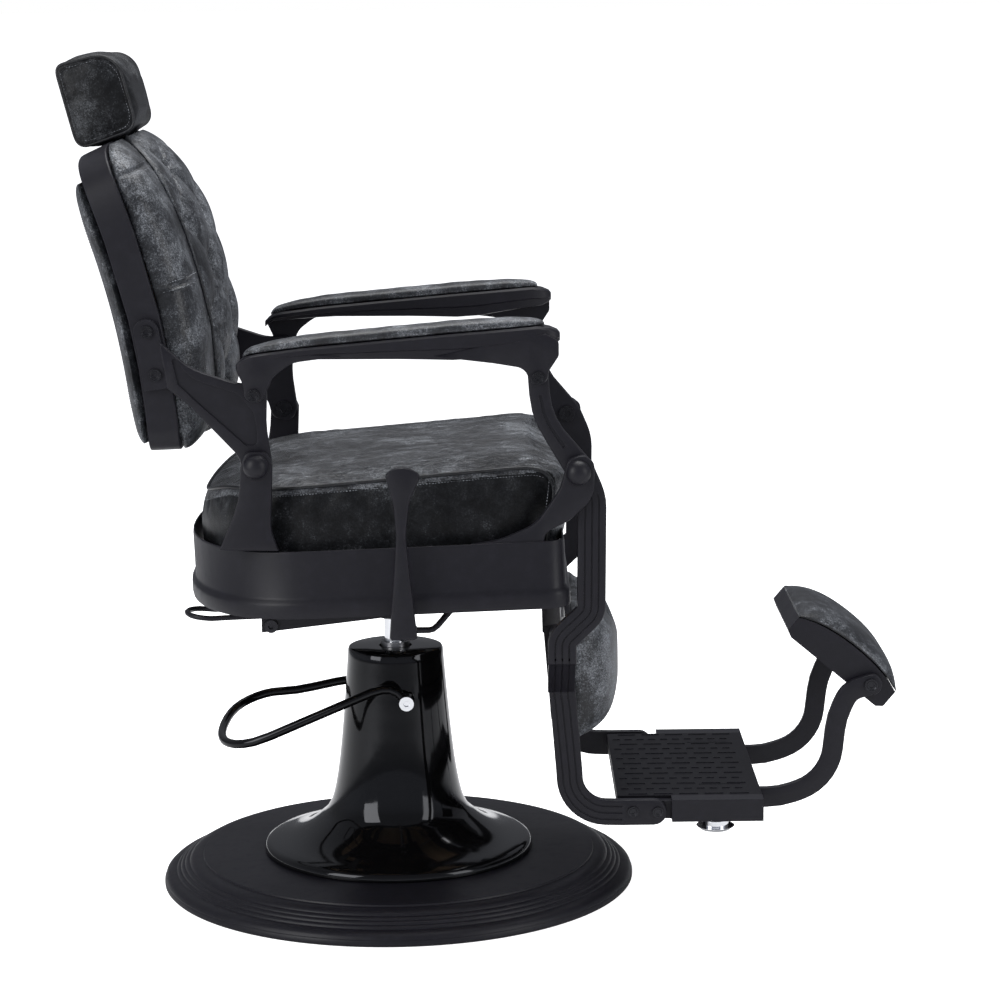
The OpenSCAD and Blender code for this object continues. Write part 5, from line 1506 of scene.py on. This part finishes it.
class CHAIR_OT_arm_pads(bpy.types.Operator):
    """Padded leather tops of both armrests"""

    bl_idname = "chair.arm_pads"
    bl_label = "Arm Pads"

    def execute(self, context):
        sewing = context.scene.chair_sewing
        line = arm_line()
        low, high, rise, mid = ARM_LOW, ARM_HIGH, ARM_RISE, ARM_MID
        for side, body, sign in (("left", "arm_left", 1), ("right", "arm_right", -1)):
            rings, edge = [], []
            for k in range(101):
                x = low + (high - low) * close_at_ends(k, 100)
                t = (x - low) / (high - low)
                e = max(0.01, 1 - abs(2 * t - 1) ** 5) ** 0.5
                w, z, h = 5 + 20 * e, arm_upper(line, x) + 0.35, 2 + (rise - 2) * e
                wave = 0.25 * math.sin(x * 0.16) + 0.2 * math.sin(x * 0.071 + 1)
                ring = [(x, sign * mid + w - 2.2, z), (x, sign * mid + w - 0.6, z + h * 0.14)]
                for j in range(31):
                    a = math.radians(6 * j)
                    crown = h * 0.34 + h * 0.66 * math.sin(a) ** 0.62 + wave * math.sin(a)
                    ring.append((x, sign * mid + w * math.cos(a), z + crown))
                ring += [(x, sign * mid - w + 0.6, z + h * 0.14), (x, sign * mid - w + 2.2, z)]
                rings.append(ring)
                edge.append((x, w, z + h * 0.22))
            piece = rounded(mesh_piece(f"arm_pad_{side}_leather", *loft(rings)))
            skin = Skin(piece)
            dressed(piece, finish("leather"), body, f"arm_pad_{side}")
            loop = [(x, sign * mid + w, z) for x, w, z in edge] + [
                (x, sign * mid - w, z) for x, w, z in reversed(edge)
            ]
            path = eased(skin.on(spaced(loop, 4.0, closed=True), 0.12), 2, closed=True)
            dressed(
                mesh_piece(
                    f"arm_pad_{side}_stitching",
                    *stitches(path, sewing.stitch, closed=True, radius=FINE_THREAD),
                ),
                finish("thread"),
                body,
            )
        return {"FINISHED"}


class CHAIR_OT_calf_pad(bpy.types.Operator):
    """Rounded pad on the front of the legrest's panel"""

    bl_idname = "chair.calf_pad"
    bl_label = "Calf Pad"

    def execute(self, context):
        sewing = context.scene.chair_sewing
        half, low, high, back = CALF_HALF, CALF_LOW, CALF_HIGH, CALF_BACK
        rings = []
        for k in range(61):
            z = low + (high - low) * close_at_ends(k, 60)
            t = (z - low) / (high - low)
            lift = max(0.04, 1 - abs(2 * t - 1) ** 4) ** 0.5
            w = half - 14 * abs(2 * t - 1) ** 8
            ring = [(back, w - 3, max(z, CALF_REAR_LOW + t)), (back, 3 - w, max(z, CALF_REAR_LOW + t))]
            for j in range(81):
                y = -w * math.cos(math.pi * j / 80)
                e = 1 - (abs(y) / (w + 0.6)) ** 4
                ring.append((back + 4 + 60 * lift * e**0.5 + 4 * e, y, z))
            rings.append(ring)
        piece = mesh_piece("calf_pad_leather", *loft(rings))

        def held(co, normal):
            return 1.0 if co.x < back + 7 else max(0.0, 1 - (co.x - back - 7) / 8)

        stuffed(piece, 5.0, 5.0, 3.0, held, start=2.5)
        skin = Skin(piece)
        dressed(piece, finish("calf_leather"), "legrest", "calf_pad")
        loop = []
        for c, s in around(160):
            loop.append((back + 13, half * signed_power(c, 0.35), 332 + 91 * signed_power(s, 0.35)))
        path = eased(skin.on(spaced(loop, 4.0, closed=True), 0.15), 2, closed=True)
        dressed(
            mesh_piece(
                "calf_pad_stitching", *stitches(path, sewing.stitch, closed=True, radius=FINE_THREAD)
            ),
            finish("thread"),
            "legrest",
        )
        return {"FINISHED"}


def flip_xz(u, n):
    c, s = math.cos(FLIP_TILT), math.sin(FLIP_TILT)
    return FLIP_PIVOT[0] + u * c + n * s, FLIP_PIVOT[1] + u * s - n * c


def flip_seam(t):
    """A point of the curve that the leather's edge follows on the shell."""
    a, b, c, d = FLIP_CURVE
    return [
        a[i] * (1 - t) ** 3 + 3 * b[i] * t * (1 - t) ** 2 + 3 * c[i] * t * t * (1 - t) + d[i] * t**3
        for i in (0, 1)
    ]


class CHAIR_OT_footrest_pad(bpy.types.Operator):
    """Crowned leather on the flip footrest"""

    bl_idname = "chair.footrest_pad"
    bl_label = "Footrest Pad"

    def execute(self, context):
        half = FLIP_W / 2
        rings, edge = [], []
        for i in range(71):
            t = close_at_ends(i, 70)
            u, n = flip_seam(t)
            lift = max(0.02, 1 - abs(2 * t - 1) ** 3) ** 0.6
            base = flip_xz(u, n + 0.05)
            ring = [(base[0], -half + 1, base[1]), (base[0], half - 1, base[1])]
            for k in range(61):
                y = half * math.cos(math.pi * k / 60)
                e = (1 - (abs(y) / (half + 0.4)) ** 4) ** 0.5
                x, z = flip_xz(u * (1 + 0.01 * e), n + 1.5 + 20 * lift * e)
                ring.append((x, y, z))
            rings.append(ring)
            x, z = flip_xz(u, n + 2.4)
            edge.append((x, z))
        piece = rounded(mesh_piece("flip_pad_leather", *loft(rings)))
        skin = Skin(piece)
        dressed(piece, finish("leather"), "flip_footrest", "flip_pad")
        cords = []
        for sign in (-1, 1):
            line = eased(skin.on(spaced([(x, sign * (half - 0.6), z) for x, z in edge], 4.0), 0.0), 2)
            cords.append(tube(line, 1.3))
        dressed(mesh_piece("flip_pad_piping", *gathered(cords)), finish("piping"), "flip_footrest")
        return {"FINISHED"}


# ---------------------------------------------------------------- studio


def aimed(obj, place, target):
    obj.location = place
    obj.rotation_euler = (Vector(target) - Vector(place)).to_track_quat("-Z", "Y").to_euler()


class CHAIR_OT_studio(bpy.types.Operator):
    """Pale floor, soft boxes, camera, and dim surroundings that look white to the camera only"""

    bl_idname = "chair.studio"
    bl_label = "Studio"

    def execute(self, context):
        scene = context.scene
        studio = scene.chair_studio
        size = FLOOR_HALF
        mesh = bpy.data.meshes.new("studio_floor")
        mesh.from_pydata(
            [(-size, -size, 0), (size, -size, 0), (size, size, 0), (-size, size, 0)], [], [(0, 1, 2, 3)]
        )
        floor = bpy.data.objects.new("studio_floor", mesh)
        scene.collection.objects.link(floor)
        material, tree = blank("Studio floor")
        at = put(tree, "ShaderNodeTexCoord").outputs["Object"]
        tone = mixed(
            tree, ranged(tree, noise_at(tree, at, 1.5, 3.0), 0.3, 0.7), rgba(studio.floor), FLOOR_SHADE
        )
        matte = put(tree, "ShaderNodeBsdfDiffuse", {"Color": tone})
        path = put(tree, "ShaderNodeLightPath")
        glow = put(tree, "ShaderNodeEmission", {"Strength": path.outputs["Is Camera Ray"]})
        both = put(tree, "ShaderNodeAddShader", {0: matte.outputs[0], 1: glow.outputs[0]})
        linked(tree, both.outputs[0], put(tree, "ShaderNodeOutputMaterial").inputs[0])
        arrange(tree)
        floor.data.materials.append(material)

        world = bpy.data.worlds.new("Studio surroundings")
        scene.world = world
        world.use_nodes = True
        tree = world.node_tree
        tree.nodes.clear()
        way = put(tree, "ShaderNodeSeparateXYZ", {0: put(tree, "ShaderNodeTexCoord").outputs["Generated"]})
        behind = ranged(tree, way.outputs[1], -0.25, 0.75, 0.0, 1.0)
        above = ranged(tree, way.outputs[2], 0.1, 0.55, 0.0, 1.0)
        side = mixed(tree, behind, WORLD_FRONT, WORLD_BEHIND)
        colour = mixed(tree, above, side, WORLD_ABOVE)
        seen = put(tree, "ShaderNodeLightPath").outputs["Is Camera Ray"]
        back = put(
            tree, "ShaderNodeBackground", {"Color": mixed(tree, seen, colour, WHITE), "Strength": 1.0}
        )
        linked(tree, back.outputs[0], put(tree, "ShaderNodeOutputWorld").inputs[0])
        arrange(tree)

        for name, place, target, width, height, power, reflected in SOFT_BOXES:
            lamp = bpy.data.lights.new(name, "AREA")
            lamp.shape = "RECTANGLE"
            lamp.size, lamp.size_y = width, height
            lamp.energy = power * studio.lamps
            box = bpy.data.objects.new(name, lamp)
            scene.collection.objects.link(box)
            aimed(box, place, target)
            box.visible_glossy = reflected

        yaw, pitch, roll = CAMERA_YAW, CAMERA_PITCH, CAMERA_ROLL
        forward = Vector(
            (math.sin(yaw) * math.cos(pitch), math.cos(yaw) * math.cos(pitch), -math.sin(pitch))
        )
        right = Vector((math.cos(yaw), -math.sin(yaw), 0))
        up = right.cross(forward)
        across = right * math.cos(roll) + up * math.sin(roll)
        upward = right * -math.sin(roll) + up * math.cos(roll)
        lens = bpy.data.cameras.new("studio_camera")
        lens.sensor_width = SENSOR_WIDTH
        lens.lens = CAMERA_LENS
        lens.clip_end = FAR_CLIP
        camera = bpy.data.objects.new("studio_camera", lens)
        scene.collection.objects.link(camera)
        turn = Matrix((across, upward, -forward)).transposed().to_4x4()
        camera.matrix_world = Matrix.Translation(CAMERA_PLACE) @ turn
        scene.camera = camera
        scene.view_settings.view_transform = "Standard"
        return {"FINISHED"}


# ---------------------------------------------------------------- panel and registration

OPERATORS = (
    CHAIR_OT_finishes,
    CHAIR_OT_seat_cushion,
    CHAIR_OT_back_cushion,
    CHAIR_OT_back_pad,
    CHAIR_OT_headrest,
    CHAIR_OT_arm_pads,
    CHAIR_OT_calf_pad,
    CHAIR_OT_footrest_pad,
    CHAIR_OT_studio,
)
SETTINGS = {
    "chair_leather": LeatherSettings,
    "chair_sewing": SewingSettings,
    "chair_metal": MetalSettings,
    "chair_studio": StudioSettings,
}


class CHAIR_PT_panel(bpy.types.Panel):
    """Pieces of the chair and its studio"""

    bl_idname = "CHAIR_PT_panel"
    bl_label = "Barber Chair"
    bl_space_type = "VIEW_3D"
    bl_region_type = "UI"
    bl_category = "Barber Chair"

    def draw(self, context):
        for name, kind in SETTINGS.items():
            column = self.layout.box().column()
            for key in kind.__annotations__:
                column.prop(getattr(context.scene, name), key)
        for operator in OPERATORS:
            self.layout.operator(operator.bl_idname)


def register():
    for kind in (*SETTINGS.values(), *OPERATORS, CHAIR_PT_panel):
        bpy.utils.register_class(kind)
    for name, kind in SETTINGS.items():
        setattr(bpy.types.Scene, name, PointerProperty(type=kind))


def unregister():
    for name in SETTINGS:
        delattr(bpy.types.Scene, name)
    for kind in reversed((*SETTINGS.values(), *OPERATORS, CHAIR_PT_panel)):
        bpy.utils.unregister_class(kind)


def main():
    register()
    bpy.ops.chair.finishes()
    bpy.ops.chair.seat_cushion()
    bpy.ops.chair.back_cushion()
    bpy.ops.chair.back_pad()
    bpy.ops.chair.headrest()
    bpy.ops.chair.arm_pads()
    bpy.ops.chair.calf_pad()
    bpy.ops.chair.footrest_pad()
    bpy.ops.chair.studio()


if __name__ == "__main__":
    main()
